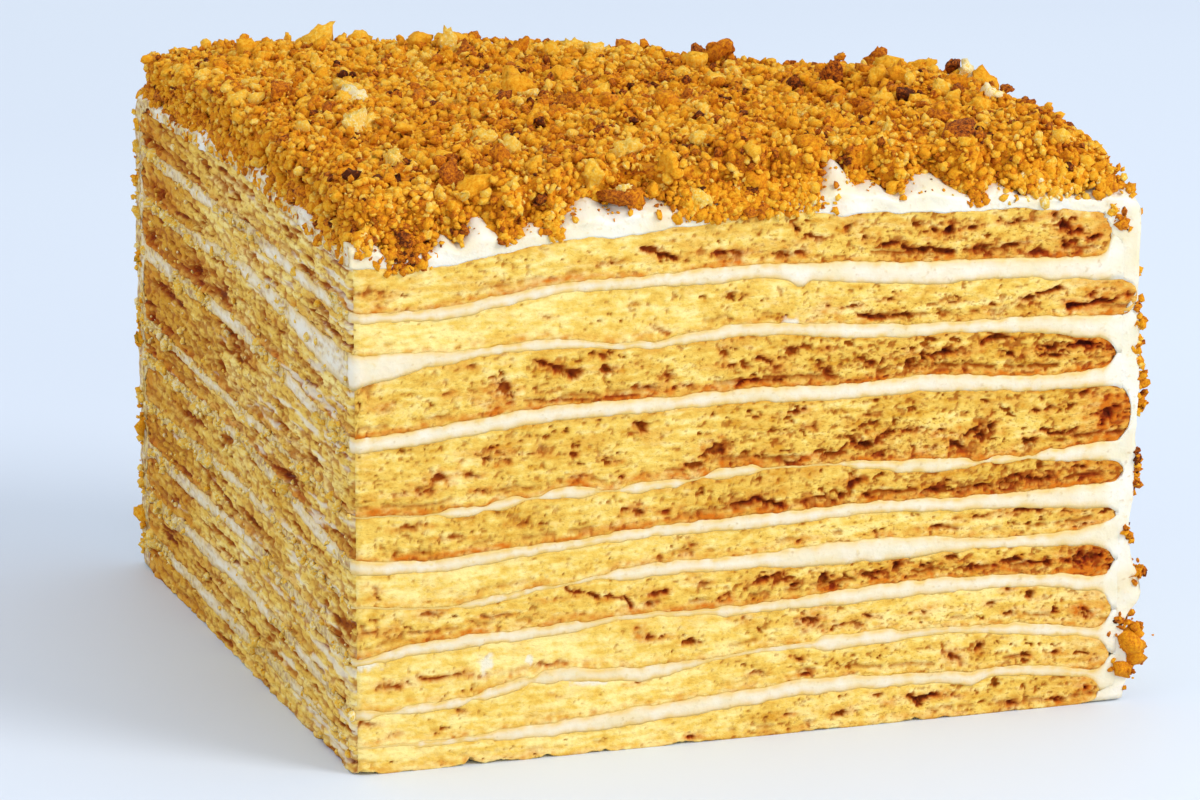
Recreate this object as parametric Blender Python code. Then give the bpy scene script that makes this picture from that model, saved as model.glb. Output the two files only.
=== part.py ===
"""A quarter of a round medovik honey cake.

Ten thin honey sponges with cream between them, a cream coat on the top and on the
round side, and a bed of crumbs and broken sponge on the top. The two straight faces
are knife cuts, so every sponge and every cream runs right through to both of them.

Units are metres, +Z is up. The knife tip of the wedge, where the two cuts meet, is
at low X and low Y. The front cut faces -Y and the side cut faces -X. The origin is
in the middle of the footprint, at the bottom.
"""

import math
import random

import bmesh
import bpy
from mathutils import Euler, Matrix, Vector

MM = 0.001

# Driving dimensions, in millimetres until they are used.
CAKE_RADIUS = 111.0          # outside of the cream coat
GRID_RADIUS = 107.0          # where the inner grid lines of every layer are laid out
GAP = 0.3                    # clearance between two pieces that touch
FLOOR_CLEARANCE = 0.8        # the cream coat stops this far above the plate
SPONGE_EDGE_DRAW = 0.7       # how far a sponge's baked rim is rounded back
COAT_ON_TOP = 2.4            # cream between the top sponge and the crumbs
COAT_EDGE_DROP = 1.0         # how far the cream's top rolls down to the rim
COAT_EDGE_WIDTH = 9.0        # width of that rolled edge
COAT_ROUND_IN = 2.25         # the top of the coat ends this far inside its outer face
COAT_WOBBLE = 0.45           # unevenness of the coat's outer face
COAT_ROWS = 4                # rows of faces up the coat's outer face
# Waves of the coat's outer face: waves round a full turn, lean for each millimetre of
# height, start, and share of the unevenness.
COAT_WAVES = ((5.0, 0.11, 0.6, 0.6), (11.0, -0.23, 2.1, 0.4))

CELLS = 8                    # grid cells along each straight cut
CUTTER_REACH = 2.0           # a cutter stands out past the knife cuts by this much
ON_THE_CUT = 0.1             # a point closer to a knife cut than this lies on it

# The cake is lower at the tip and at the rim than in between. Each row is one layer,
# from the bottom up: its name, its thickness along the front cut at each grid line from
# the tip to the rim, its thickness along the side cut at SIDE_STATIONS, and for a sponge
# the radius that its baked rim reaches.
STATIONS = tuple(GRID_RADIUS * line / CELLS for line in range(CELLS + 1))
SIDE_STATIONS = (55.0, 95.0)
LAYERS = (
    ("sponge_01", (3.6, 3.0, 3.1, 3.6, 4.5, 5.2, 5.2, 5.0, 3.0), (3.5, 4.0), 106.4),
    ("cream_01", (0.8, 1.2, 1.7, 2.2, 2.0, 2.1, 1.6, 1.4, 1.3), (1.8, 2.0), None),
    ("sponge_02", (3.3, 4.1, 5.4, 3.9, 4.9, 3.7, 4.7, 4.4, 4.1), (5.5, 4.1), 107.4),
    ("cream_02", (1.1, 1.1, 1.7, 1.5, 1.0, 2.1, 1.5, 1.3, 1.8), (2.0, 2.2), None),
    ("sponge_03", (5.7, 6.5, 4.6, 6.4, 4.9, 4.2, 4.6, 5.4, 5.1), (5.1, 5.0), 107.4),
    ("cream_03", (1.8, 2.1, 1.8, 1.4, 1.4, 2.0, 2.2, 1.8, 2.4), (1.8, 2.0), None),
    ("sponge_04", (6.4, 3.6, 4.7, 4.6, 4.9, 3.6, 3.5, 3.8, 4.4), (5.2, 5.2), 107.5),
    ("cream_04", (0.8, 0.8, 0.8, 1.7, 1.9, 3.2, 2.5, 1.4, 3.7), (1.3, 1.4), None),
    ("sponge_05", (3.7, 4.5, 4.2, 3.6, 3.5, 3.3, 3.6, 3.9, 1.8), (5.0, 5.2), 107.2),
    ("cream_05", (2.4, 2.0, 1.8, 1.2, 1.8, 1.7, 1.8, 2.4, 3.2), (1.8, 1.8), None),
    ("sponge_06", (5.4, 5.3, 5.5, 5.4, 5.5, 5.4, 3.5, 4.3, 3.2), (2.8, 3.6), 107.4),
    ("cream_06", (0.8, 1.2, 1.4, 1.2, 1.4, 0.8, 1.9, 1.0, 3.1), (1.4, 1.4), None),
    ("sponge_07", (8.0, 9.1, 9.2, 9.4, 8.9, 8.7, 9.3, 8.8, 7.4), (9.9, 9.0), 107.8),
    ("cream_07", (2.0, 2.6, 2.3, 1.8, 1.8, 1.8, 2.1, 2.1, 2.5), (2.0, 2.2), None),
    ("sponge_08", (6.4, 7.8, 7.7, 6.9, 7.2, 6.6, 5.8, 6.0, 3.6), (7.1, 5.3), 107.0),
    ("cream_08", (4.8, 1.7, 1.2, 1.1, 1.5, 1.8, 1.4, 1.9, 3.5), (1.8, 2.0), None),
    ("sponge_09", (4.3, 4.1, 5.6, 7.3, 5.7, 5.9, 5.5, 5.7, 4.8), (4.1, 5.5), 107.8),
    ("cream_09", (1.6, 2.1, 1.9, 1.6, 2.3, 2.5, 3.1, 2.5, 3.5), (1.8, 1.8), None),
    ("sponge_10", (5.6, 5.2, 5.6, 5.5, 6.6, 6.8, 6.7, 7.0, 5.9), (6.5, 5.2), 106.5),
)

# The crumb bed on the top.
BED_DEPTH = 5.5              # crumbs packed on the cream, without the pieces on top
BED_BANK = 1.2               # the bed is banked up by this much towards the rim
BED_BANK_WIDTH = 35.0
BED_SETBACK = 2.2            # the packed bed ends this far behind each cut
BED_RIM_SETBACK = 1.2        # and this far inside the coat's outer face
BED_RIM_SLOPE = 1.6          # its top edge lies this much further in than its foot
BED_UNEVENNESS = 0.5
BED_RIPPLE_X = (0.21, 1.3)   # turn for each millimetre along X, and start
BED_RIPPLE_Y = (0.17, 0.4)   # and the same along Y
CORNER_DIP = 2.0             # the bed thins towards the rim end of the front cut
CORNER_DIP_REACH = 20.0
MOUND = (98.0, 34.0, 2.2, 26.0)      # a heap near the rim: x, y, height, reach
PIECE_COUNT = 140            # broken sponge pieces fused on the bed, largest first
PIECE_LARGEST = 7.5
PIECE_SMALLEST = 3.6
PIECE_SUNK = 0.22            # share of a piece's size that its middle lies below the bed
PIECE_REACH = 0.62           # share of a piece's size that its corners stay within
PIECE_RIM_MARGIN = 0.45      # share of its size that a piece keeps inside the coat's face
PIECE_BARE_MARGIN = 0.3      # share of its size that a piece keeps off bare cream
PIECE_ROUGHNESS = (0.82, 1.12)       # each corner is moved in or out between these shares
PIECE_LENGTH = (0.9, 1.15)           # and each piece is stretched between these shares
PIECE_WIDTH = (0.75, 1.0)
PIECE_HEIGHT = (0.7, 0.95)
# Bare cream along the front cut: place from the tip, half width and depth behind the cut.
BARE_PATCHES = (
    (16.0, 4.5, 4.0),
    (37.0, 7.5, 5.0),
    (67.5, 2.5, 9.0),
    (79.0, 5.5, 4.0),
    (97.0, 7.0, 4.0),
)

# Stray pieces stuck to the cream on the round side.
SIDE_PIECE_COUNT = 34
SIDE_PIECE_LARGEST = 4.0
SIDE_PIECE_SMALLEST = 2.4
SIDE_PIECE_PROUD = 0.2       # share of a piece's size that its middle lies outside the coat
SIDE_PIECE_MARGIN = 0.7      # share of its size that a piece keeps off the knife cuts
SIDE_PIECES_FROM = 4.0       # heights between which the strays lie
SIDE_PIECES_TO = 64.0

SEED = 41
# Steps of the two-dimensional sequence that spreads any number of points evenly.
EVEN_STEP_A = 0.7548776662
EVEN_STEP_B = 0.5698402910

SPONGE_COLOUR = (0.66, 0.42, 0.10)
CREAM_COLOUR = (0.90, 0.86, 0.72)
CRUMB_COLOUR = (0.62, 0.31, 0.05)
SPONGE_ROUGHNESS = 0.9
CREAM_ROUGHNESS = 0.45
CRUMB_ROUGHNESS = 0.85


def clear_scene():
    """Remove whatever objects the file holds."""
    for thing in list(bpy.data.objects):
        bpy.data.objects.remove(thing, do_unlink=True)


def make_material(name, colour, roughness):
    """Give a matt food material of one colour."""
    material = bpy.data.materials.new(name)
    material.use_nodes = True
    shader = material.node_tree.nodes["Principled BSDF"]
    shader.inputs["Base Color"].default_value = (*colour, 1.0)
    shader.inputs["Roughness"].default_value = roughness
    shader.inputs["Metallic"].default_value = 0.0
    return material


def smooth_step(t):
    """Ease from 0 to 1 as t goes from 0 to 1."""
    t = min(max(t, 0.0), 1.0)
    return t * t * (3.0 - 2.0 * t)


def between(stations, values, place):
    """Read a value between its stations, easing from one to the next."""
    if place <= stations[0]:
        return values[0]
    for index in range(1, len(stations)):
        if place <= stations[index]:
            span = stations[index] - stations[index - 1]
            share = smooth_step((place - stations[index - 1]) / span)
            return values[index - 1] + share * (values[index] - values[index - 1])
    return values[-1]


def thickness(layer, x, y):
    """Thickness of a layer at a place on the plan, in millimetres."""
    _, front, side, _ = layer
    reach = math.hypot(x, y)
    turn = smooth_step(math.atan2(y, x) / (math.pi / 2.0)) if reach > 0.0 else 0.0
    on_front = between(STATIONS, front, reach)
    on_side = between((0.0,) + SIDE_STATIONS, (front[0],) + side, reach)
    return on_front + turn * (on_side - on_front)


def stack_height(count, x, y):
    """Height of the top of the lowest layers, in millimetres."""
    return sum(thickness(layer, x, y) for layer in LAYERS[:count])


def wobble(x, y, height):
    """Slow unevenness of a spread surface, between -1 and 1."""
    turn = math.atan2(y, x)
    total = 0.0
    for waves, lean, start, share in COAT_WAVES:
        total += share * math.sin(waves * turn + lean * height + start)
    return total


def cream_top(x, y):
    """Height of the cream under the crumbs."""
    reach = math.hypot(x, y)
    roll = smooth_step((reach - (CAKE_RADIUS - COAT_EDGE_WIDTH)) / COAT_EDGE_WIDTH)
    return stack_height(len(LAYERS), x, y) + COAT_ON_TOP - COAT_EDGE_DROP * roll


def bed_top(x, y):
    """Height of the packed crumbs."""
    reach = math.hypot(x, y)
    bank = BED_BANK * smooth_step(1.0 - (CAKE_RADIUS - reach) / BED_BANK_WIDTH)
    to_corner = math.hypot(CAKE_RADIUS - x, y)
    dip = CORNER_DIP * (1.0 - smooth_step(to_corner / CORNER_DIP_REACH))
    mound_x, mound_y, mound_height, mound_reach = MOUND
    to_mound = math.hypot(x - mound_x, y - mound_y)
    mound = mound_height * (1.0 - smooth_step(to_mound / mound_reach))
    along_x = math.sin(BED_RIPPLE_X[0] * x + BED_RIPPLE_X[1])
    along_y = math.cos(BED_RIPPLE_Y[0] * y + BED_RIPPLE_Y[1])
    ripple = BED_UNEVENNESS * along_x * along_y
    return cream_top(x, y) + GAP + BED_DEPTH + bank + mound + ripple - dip


def quarter_body(name, levels, material, cells=CELLS, setback=0.0):
    """Make a closed quarter-round body from the bottom up.

    Each level is a pair of functions: the height at (x, y), and the radius of the
    rim at (x, y). The first and the last level carry the bottom and the top face,
    and the levels between them only shape the wall.
    """
    mesh = bpy.data.meshes.new(name)
    shape = bmesh.new()
    bmesh.ops.create_grid(shape, x_segments=cells, y_segments=cells, size=0.5)
    bmesh.ops.translate(shape, verts=shape.verts, vec=(0.5, 0.5, 0.0))
    top = [*shape.verts, *shape.edges, *shape.faces]
    for _ in range(1, len(levels)):
        top = bmesh.ops.extrude_face_region(shape, geom=top)["geom"]
        raised = [part for part in top if isinstance(part, bmesh.types.BMVert)]
        bmesh.ops.translate(shape, verts=raised, vec=(0.0, 0.0, 1.0))
    inner = setback / GRID_RADIUS
    for vert in shape.verts:
        u, v, level = vert.co.x, vert.co.y, round(vert.co.z)
        height, rim = levels[level]
        on_rim = max(u, v) > 1.0 - 0.5 / cells
        u = inner + (1.0 - inner) * u
        v = inner + (1.0 - inner) * v
        x = GRID_RADIUS * u * math.sqrt(1.0 - 0.5 * v * v)
        y = GRID_RADIUS * v * math.sqrt(1.0 - 0.5 * u * u)
        if on_rim:
            grow = rim(x, y) / math.hypot(x, y)
            x = x * grow if x > setback else setback
            y = y * grow if y > setback else setback
        vert.co = Vector((x, y, height(x, y))) * MM
    bmesh.ops.recalc_face_normals(shape, faces=shape.faces)
    shape.to_mesh(mesh)
    shape.free()
    mesh.materials.append(material)
    return bpy.data.objects.new(name, mesh)


def rim_radius(index):
    """Radius of the stack at the middle of a layer: a sponge's own, or between two."""
    own = LAYERS[index][3]
    if own is not None:
        return own
    return 0.5 * (LAYERS[index - 1][3] + LAYERS[index + 1][3])


def boundary_rim(count):
    """Radius of the stack at the boundary above the lowest layers."""
    if count in (0, len(LAYERS)):
        return rim_radius(min(count, len(LAYERS) - 1))
    lower, upper = LAYERS[count - 1], LAYERS[count]
    lower_part = between(STATIONS, lower[1], CAKE_RADIUS)
    upper_part = between(STATIONS, upper[1], CAKE_RADIUS)
    share = lower_part / (lower_part + upper_part)
    return rim_radius(count - 1) + share * (rim_radius(count) - rim_radius(count - 1))


def boundary(count, offset):
    """Height function of the boundary above the lowest layers, moved by an offset."""
    return lambda x, y: stack_height(count, x, y) + offset


def middle(index):
    """Height function of the middle of a layer."""
    return lambda x, y: stack_height(index, x, y) + 0.5 * thickness(LAYERS[index], x, y)


def constant(value):
    """Function that gives one value everywhere."""
    return lambda x, y: value


def build_sponge(index, material):
    """Make one sponge, with its baked rim rounded."""
    lift = 0.5 * GAP if index else 0.0
    levels = (
        (boundary(index, lift), constant(boundary_rim(index) - SPONGE_EDGE_DRAW)),
        (middle(index), constant(rim_radius(index))),
        (boundary(index + 1, -0.5 * GAP), constant(boundary_rim(index + 1) - SPONGE_EDGE_DRAW)),
    )
    return quarter_body(LAYERS[index][0], levels, material)


def build_cream(index, material):
    """Make the cream between two sponges."""
    levels = (
        (boundary(index, 0.5 * GAP), constant(boundary_rim(index) - 0.5 * GAP)),
        (boundary(index + 1, -0.5 * GAP), constant(boundary_rim(index + 1) - 0.5 * GAP)),
    )
    return quarter_body(LAYERS[index][0], levels, material)


def coat_face(height):
    """Radius function of the coat's outer face at a height."""
    return lambda x, y: CAKE_RADIUS - COAT_WOBBLE * (1.0 + wobble(x, y, height))


def build_coat(material):
    """Make the cream on the top and on the round side as one skin."""
    full = stack_height(len(LAYERS), GRID_RADIUS, 0.0)
    levels = [(constant(FLOOR_CLEARANCE), coat_face(0.0))]
    for row in range(1, COAT_ROWS):
        height = full * row / COAT_ROWS
        levels.append((constant(height), coat_face(height)))
    levels.append((boundary(len(LAYERS), 0.0), coat_face(full)))
    levels.append((cream_top, constant(CAKE_RADIUS - COAT_ROUND_IN)))
    return quarter_body("cream_coat", levels, material)


def build_stack_cutter(material):
    """Make the room that the stack takes inside the coat, open at both cuts and below."""
    levels = [(constant(-FLOOR_CLEARANCE), constant(rim_radius(0) + GAP))]
    for index in range(len(LAYERS)):
        levels.append((middle(index), constant(rim_radius(index) + GAP)))
    levels.append((boundary(len(LAYERS), 0.5 * GAP), constant(boundary_rim(len(LAYERS)) + GAP)))
    return quarter_body("stack_room", levels, material)


def open_at_cuts(cutter):
    """Push a cutter's two straight faces out past the knife cuts."""
    for vert in cutter.data.vertices:
        if vert.co.x < ON_THE_CUT * MM:
            vert.co.x = -CUTTER_REACH * MM
        if vert.co.y < ON_THE_CUT * MM:
            vert.co.y = -CUTTER_REACH * MM


def broken_piece(size, place, draw, material, name):
    """Make one broken piece of sponge, an uneven stone with twenty faces."""
    mesh = bpy.data.meshes.new(name)
    shape = bmesh.new()
    bmesh.ops.create_icosphere(shape, subdivisions=1, radius=0.5 * size * MM)
    for vert in shape.verts:
        vert.co *= draw.uniform(*PIECE_ROUGHNESS)
    stretch = [draw.uniform(*shares) for shares in (PIECE_LENGTH, PIECE_WIDTH, PIECE_HEIGHT)]
    bmesh.ops.scale(shape, verts=shape.verts, vec=stretch)
    turn = Euler([draw.uniform(0.0, 2.0 * math.pi) for _ in range(3)]).to_matrix().to_4x4()
    move = Matrix.Translation(Vector(place) * MM)
    bmesh.ops.transform(shape, matrix=move @ turn, verts=shape.verts)
    bmesh.ops.recalc_face_normals(shape, faces=shape.faces)
    shape.to_mesh(mesh)
    shape.free()
    mesh.materials.append(material)
    return bpy.data.objects.new(name, mesh)


def even_pair(index):
    """Give the index-th point of an even spread over the unit square."""
    return (0.5 + index * EVEN_STEP_A) % 1.0, (0.5 + index * EVEN_STEP_B) % 1.0


def size_of(index, count, largest, smallest):
    """Size of the index-th piece, the largest first."""
    return smallest + (largest - smallest) * (1.0 - index / count) ** 2


def is_bare(x, y, size):
    """Tell whether a piece would lie on one of the bare patches of cream."""
    margin = PIECE_BARE_MARGIN * size
    for place, half_width, depth in BARE_PATCHES:
        if abs(x - place) < half_width + margin and y < depth + margin:
            return True
    return False


def top_pieces(material):
    """Make the broken pieces that lie on the crumb bed."""
    draw = random.Random(SEED)
    pieces = []
    index = 0
    while len(pieces) < PIECE_COUNT:
        size = size_of(len(pieces), PIECE_COUNT, PIECE_LARGEST, PIECE_SMALLEST)
        across, around = even_pair(index)
        index += 1
        reach = (CAKE_RADIUS - 0.5 * size) * math.sqrt(across)
        turn = around * math.pi / 2.0
        x = max(reach * math.cos(turn), PIECE_REACH * size)
        y = max(reach * math.sin(turn), PIECE_REACH * size)
        outside = math.hypot(x, y) > CAKE_RADIUS - PIECE_RIM_MARGIN * size
        if outside or is_bare(x, y, size):
            continue
        lowest = cream_top(x, y) + GAP + PIECE_REACH * size
        z = max(bed_top(x, y) - PIECE_SUNK * size, lowest)
        name = "top_piece_%03d" % len(pieces)
        pieces.append(broken_piece(size, (x, y, z), draw, material, name))
    return pieces


def side_pieces(material):
    """Make the stray pieces that stick to the round side."""
    draw = random.Random(SEED + 1)
    pieces = []
    for index in range(SIDE_PIECE_COUNT):
        size = size_of(index, SIDE_PIECE_COUNT, SIDE_PIECE_LARGEST, SIDE_PIECE_SMALLEST)
        along, up = even_pair(index)
        height = SIDE_PIECES_FROM + up * (SIDE_PIECES_TO - SIDE_PIECES_FROM)
        margin = math.asin(SIDE_PIECE_MARGIN * size / CAKE_RADIUS)
        turn = margin + along * (math.pi / 2.0 - 2.0 * margin)
        x, y = math.cos(turn), math.sin(turn)
        reach = coat_face(height)(x, y) + SIDE_PIECE_PROUD * size
        name = "side_piece_%03d" % index
        pieces.append(broken_piece(size, (reach * x, reach * y, height), draw, material, name))
    return pieces


def group(name, things):
    """Put objects in a new collection of the scene."""
    collection = bpy.data.collections.new(name)
    bpy.context.scene.collection.children.link(collection)
    for thing in things:
        collection.objects.link(thing)
    return collection


def apply_boolean(target, operation, operand=None, collection=None, solver="EXACT"):
    """Cut or join a mesh and keep the result as its mesh."""
    modifier = target.modifiers.new(operation.title(), "BOOLEAN")
    modifier.operation = operation
    modifier.solver = solver
    if collection is None:
        modifier.object = operand
    else:
        modifier.operand_type = "COLLECTION"
        modifier.collection = collection
    depsgraph = bpy.context.evaluated_depsgraph_get()
    result = bpy.data.meshes.new_from_object(target.evaluated_get(depsgraph))
    target.modifiers.clear()
    target.data = result


def island_of(start):
    """Collect the vertices that are joined to one vertex."""
    found = {start}
    waiting = [start]
    while waiting:
        vert = waiting.pop()
        for edge in vert.link_edges:
            other = edge.other_vert(vert)
            if other not in found:
                found.add(other)
                waiting.append(other)
    return found


def keep_largest_body(thing):
    """Drop loose scraps, and fill hollows by dropping their inner walls."""
    shape = bmesh.new()
    shape.from_mesh(thing.data)
    left = set(shape.verts)
    islands = []
    while left:
        island = island_of(next(iter(left)))
        left -= island
        islands.append(island)
    islands.sort(key=len, reverse=True)
    spare = [vert for island in islands[1:] for vert in island]
    bmesh.ops.delete(shape, geom=spare, context="VERTS")
    bmesh.ops.triangulate(shape, faces=shape.faces)
    shape.to_mesh(thing.data)
    shape.free()


def fuse(target, pieces, group_name, solver="MANIFOLD"):
    """Join small pieces to what they lie on, as one closed body."""
    collection = group(group_name, pieces)
    apply_boolean(target, "UNION", collection=collection, solver=solver)
    for piece in pieces:
        bpy.data.objects.remove(piece, do_unlink=True)
    bpy.data.collections.remove(collection)
    keep_largest_body(target)


def build_bed(material):
    """Make the packed bed of crumbs that carries the broken pieces."""
    radius = CAKE_RADIUS - BED_RIM_SETBACK
    levels = (
        (lambda x, y: cream_top(x, y) + GAP, constant(radius)),
        (bed_top, constant(radius - BED_RIM_SLOPE)),
    )
    return quarter_body("crumb_topping", levels, material, setback=BED_SETBACK)


def centre_on_floor(things):
    """Move the whole cake so that the middle of its footprint is at the origin."""
    corners = [vert.co for thing in things for vert in thing.data.vertices]
    middle_x = 0.5 * (min(c.x for c in corners) + max(c.x for c in corners))
    middle_y = 0.5 * (min(c.y for c in corners) + max(c.y for c in corners))
    for thing in things:
        thing.location = (-middle_x, -middle_y, 0.0)


def main():
    """Build every layer, the coat and the crumb topping."""
    clear_scene()
    sponge = make_material("honey_sponge", SPONGE_COLOUR, SPONGE_ROUGHNESS)
    cream = make_material("sour_cream", CREAM_COLOUR, CREAM_ROUGHNESS)
    crumb = make_material("toasted_crumb", CRUMB_COLOUR, CRUMB_ROUGHNESS)

    layers = []
    for index, layer in enumerate(LAYERS):
        if layer[3] is None:
            layers.append(build_cream(index, cream))
        else:
            layers.append(build_sponge(index, sponge))
    coat = build_coat(cream)
    bed = build_bed(crumb)
    cake = group("medovik_slice", layers + [coat, bed])

    cutter = build_stack_cutter(cream)
    open_at_cuts(cutter)
    cutter.hide_render = True
    cutter.display_type = "WIRE"
    group("cutters", [cutter])
    bpy.context.view_layer.update()
    apply_boolean(coat, "DIFFERENCE", operand=cutter)
    fuse(coat, side_pieces(crumb), "side_pieces")
    fuse(bed, top_pieces(crumb), "top_pieces")
    centre_on_floor(list(cake.objects))


main()
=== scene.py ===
"""The looks of a quarter of a round medovik honey cake.

Ten baked honey sponges with sour cream between them, a spread coat of the same cream on
the top and on the round side, and a heap of toasted sponge crumbs on the top. The two
straight faces are knife cuts, and what shows on them is modelled: the pores, cracks and
baked crust of each sponge, and the smooth bands of cream between.

Sizes are in millimetres from the knife tip, where the two cuts meet at the floor: X runs
along the front cut, Y along the side cut and Z up. A mesh gets its place in metres last.
"""
import logging
import math
from dataclasses import dataclass, field
from enum import Enum

import bmesh
import bpy
import numpy as np
from mathutils import Euler, Matrix, Vector
from mathutils.bvhtree import BVHTree
from mathutils.kdtree import KDTree


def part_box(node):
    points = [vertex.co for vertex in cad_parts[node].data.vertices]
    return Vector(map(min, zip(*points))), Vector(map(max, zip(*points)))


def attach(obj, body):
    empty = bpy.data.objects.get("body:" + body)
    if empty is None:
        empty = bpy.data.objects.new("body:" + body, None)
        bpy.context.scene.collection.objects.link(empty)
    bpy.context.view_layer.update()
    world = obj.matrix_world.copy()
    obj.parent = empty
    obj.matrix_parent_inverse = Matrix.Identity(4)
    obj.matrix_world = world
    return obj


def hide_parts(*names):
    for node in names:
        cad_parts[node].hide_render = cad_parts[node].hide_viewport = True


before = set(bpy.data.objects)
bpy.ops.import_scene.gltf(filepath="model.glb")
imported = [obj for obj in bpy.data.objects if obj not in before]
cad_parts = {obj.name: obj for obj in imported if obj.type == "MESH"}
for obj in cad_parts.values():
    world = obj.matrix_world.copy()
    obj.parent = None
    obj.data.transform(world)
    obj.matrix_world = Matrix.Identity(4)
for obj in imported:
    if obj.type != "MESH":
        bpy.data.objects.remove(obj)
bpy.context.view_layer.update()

LOG = logging.getLogger("medovik")
Array = np.ndarray

MM = 0.001
INNER_RADIUS = 107.0    # where the inner grid lines of every layer are laid out
SPONGES = 10
FAR = 200.0             # farther than anything on the cake

Rows = tuple[tuple[float, ...], ...]


class Cut(Enum):
    """The two straight faces of the slice."""

    FRONT = 0
    SIDE = 1


class Slot(Enum):
    """The record's material slots."""

    SPONGE = "honey_sponge"
    CREAM = "sour_cream"
    CRUMB = "toasted_crumb"


# Small helpers


def ease(value: Array) -> Array:
    """Ease from 0 to 1 as each value goes from 0 to 1."""
    share = np.clip(value, 0.0, 1.0)
    return share * share * (3.0 - 2.0 * share)


def bump_at(place: Array, middle: float, half_width: float) -> Array:
    """Smooth bump of height 1 around a place, nought beyond its half width."""
    return ease(1.0 - np.abs(place - middle) / half_width)


def stretch_between(place: Array, low: float, high: float, blur: float) -> Array:
    """Plateau of height 1 between two places, with blurred ends."""
    return ease((place - low) / blur + 0.5) * ease((high - place) / blur + 0.5)


@dataclass(frozen=True)
class Grain:
    """Smooth seeded noise over places in millimetres."""

    seed: int

    def at_corners(self, corners: Array) -> Array:
        """Random value between -1 and 1 for each whole-numbered corner."""
        whole = corners.astype(np.int64)
        key = whole[..., 0] * 73856093 ^ whole[..., 1] * 19349663 ^ whole[..., 2] * 83492791
        key = (key ^ (self.seed * 668265263)) & 0xFFFFFFFF
        key = ((key ^ (key >> 15)) * 739982445) & 0xFFFFFFFF
        key = ((key ^ (key >> 12)) * 695872825) & 0xFFFFFFFF
        key = key ^ (key >> 15)
        return (key & 0xFFFF) / 32767.5 - 1.0

    def smooth(self, places: Array, size: float) -> Array:
        """Noise whose lumps are about one size across.

        Args:
            places: three columns of millimetres.
            size: distance between two corners of the noise.

        Returns:
            One value between -1 and 1 for each place.
        """
        scaled = places / size + 0.37
        low = np.floor(scaled)
        share = ease(scaled - low)
        total = np.zeros(len(places))
        for corner in range(8):
            step = np.array([corner & 1, corner >> 1 & 1, corner >> 2 & 1])
            weight = np.prod(np.where(step, share, 1.0 - share), axis=1)
            total += weight * self.at_corners(low + step)
        return total

    def layered(self, places: Array, size: float, layers: int = 3) -> Array:
        """Noise with finer noise on it, each layer half as coarse and half as strong."""
        total = np.zeros(len(places))
        weight, whole = 1.0, 0.0
        turned = places @ np.array(TURN)
        for layer in range(layers):
            total += weight * Grain(self.seed + 17 * layer).smooth(turned, size)
            whole += weight
            turned = turned @ np.array(TURN)
            size *= 0.5
            weight *= 0.55
        return total / whole

    def clumps(self, along: Array, height: Array, size: float) -> tuple[Array, Array]:
        """Scattered centres on a face, as the middles of torn crumbs.

        Args:
            along: distance along the face.
            height: height on the face.
            size: mean distance between two centres.

        Returns:
            The distance to the nearest centre in sizes, and that centre's random value.
        """
        places = np.column_stack((along, height)) / size
        low = np.floor(places)
        nearest = np.full(len(places), 9.0)
        value = np.zeros(len(places))
        for across in (-1, 0, 1):
            for up in (-1, 0, 1):
                cell = low + (across, up)
                flat = np.column_stack((cell, np.zeros(len(cell))))
                shift = [Grain(self.seed + k).at_corners(flat) for k in (1, 2)]
                centre = cell + 0.5 + 0.42 * np.column_stack(shift)
                distance = np.hypot(*(places - centre).T)
                closer = distance < nearest
                nearest = np.where(closer, distance, nearest)
                value = np.where(closer, Grain(self.seed + 3).at_corners(flat), value)
        return nearest, value


# A turn between two layers of noise, so that their corners never line up.
TURN = ((0.80, 0.53, 0.28), (-0.60, 0.71, 0.37), (0.0, -0.46, 0.89))


# The layer lines


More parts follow.
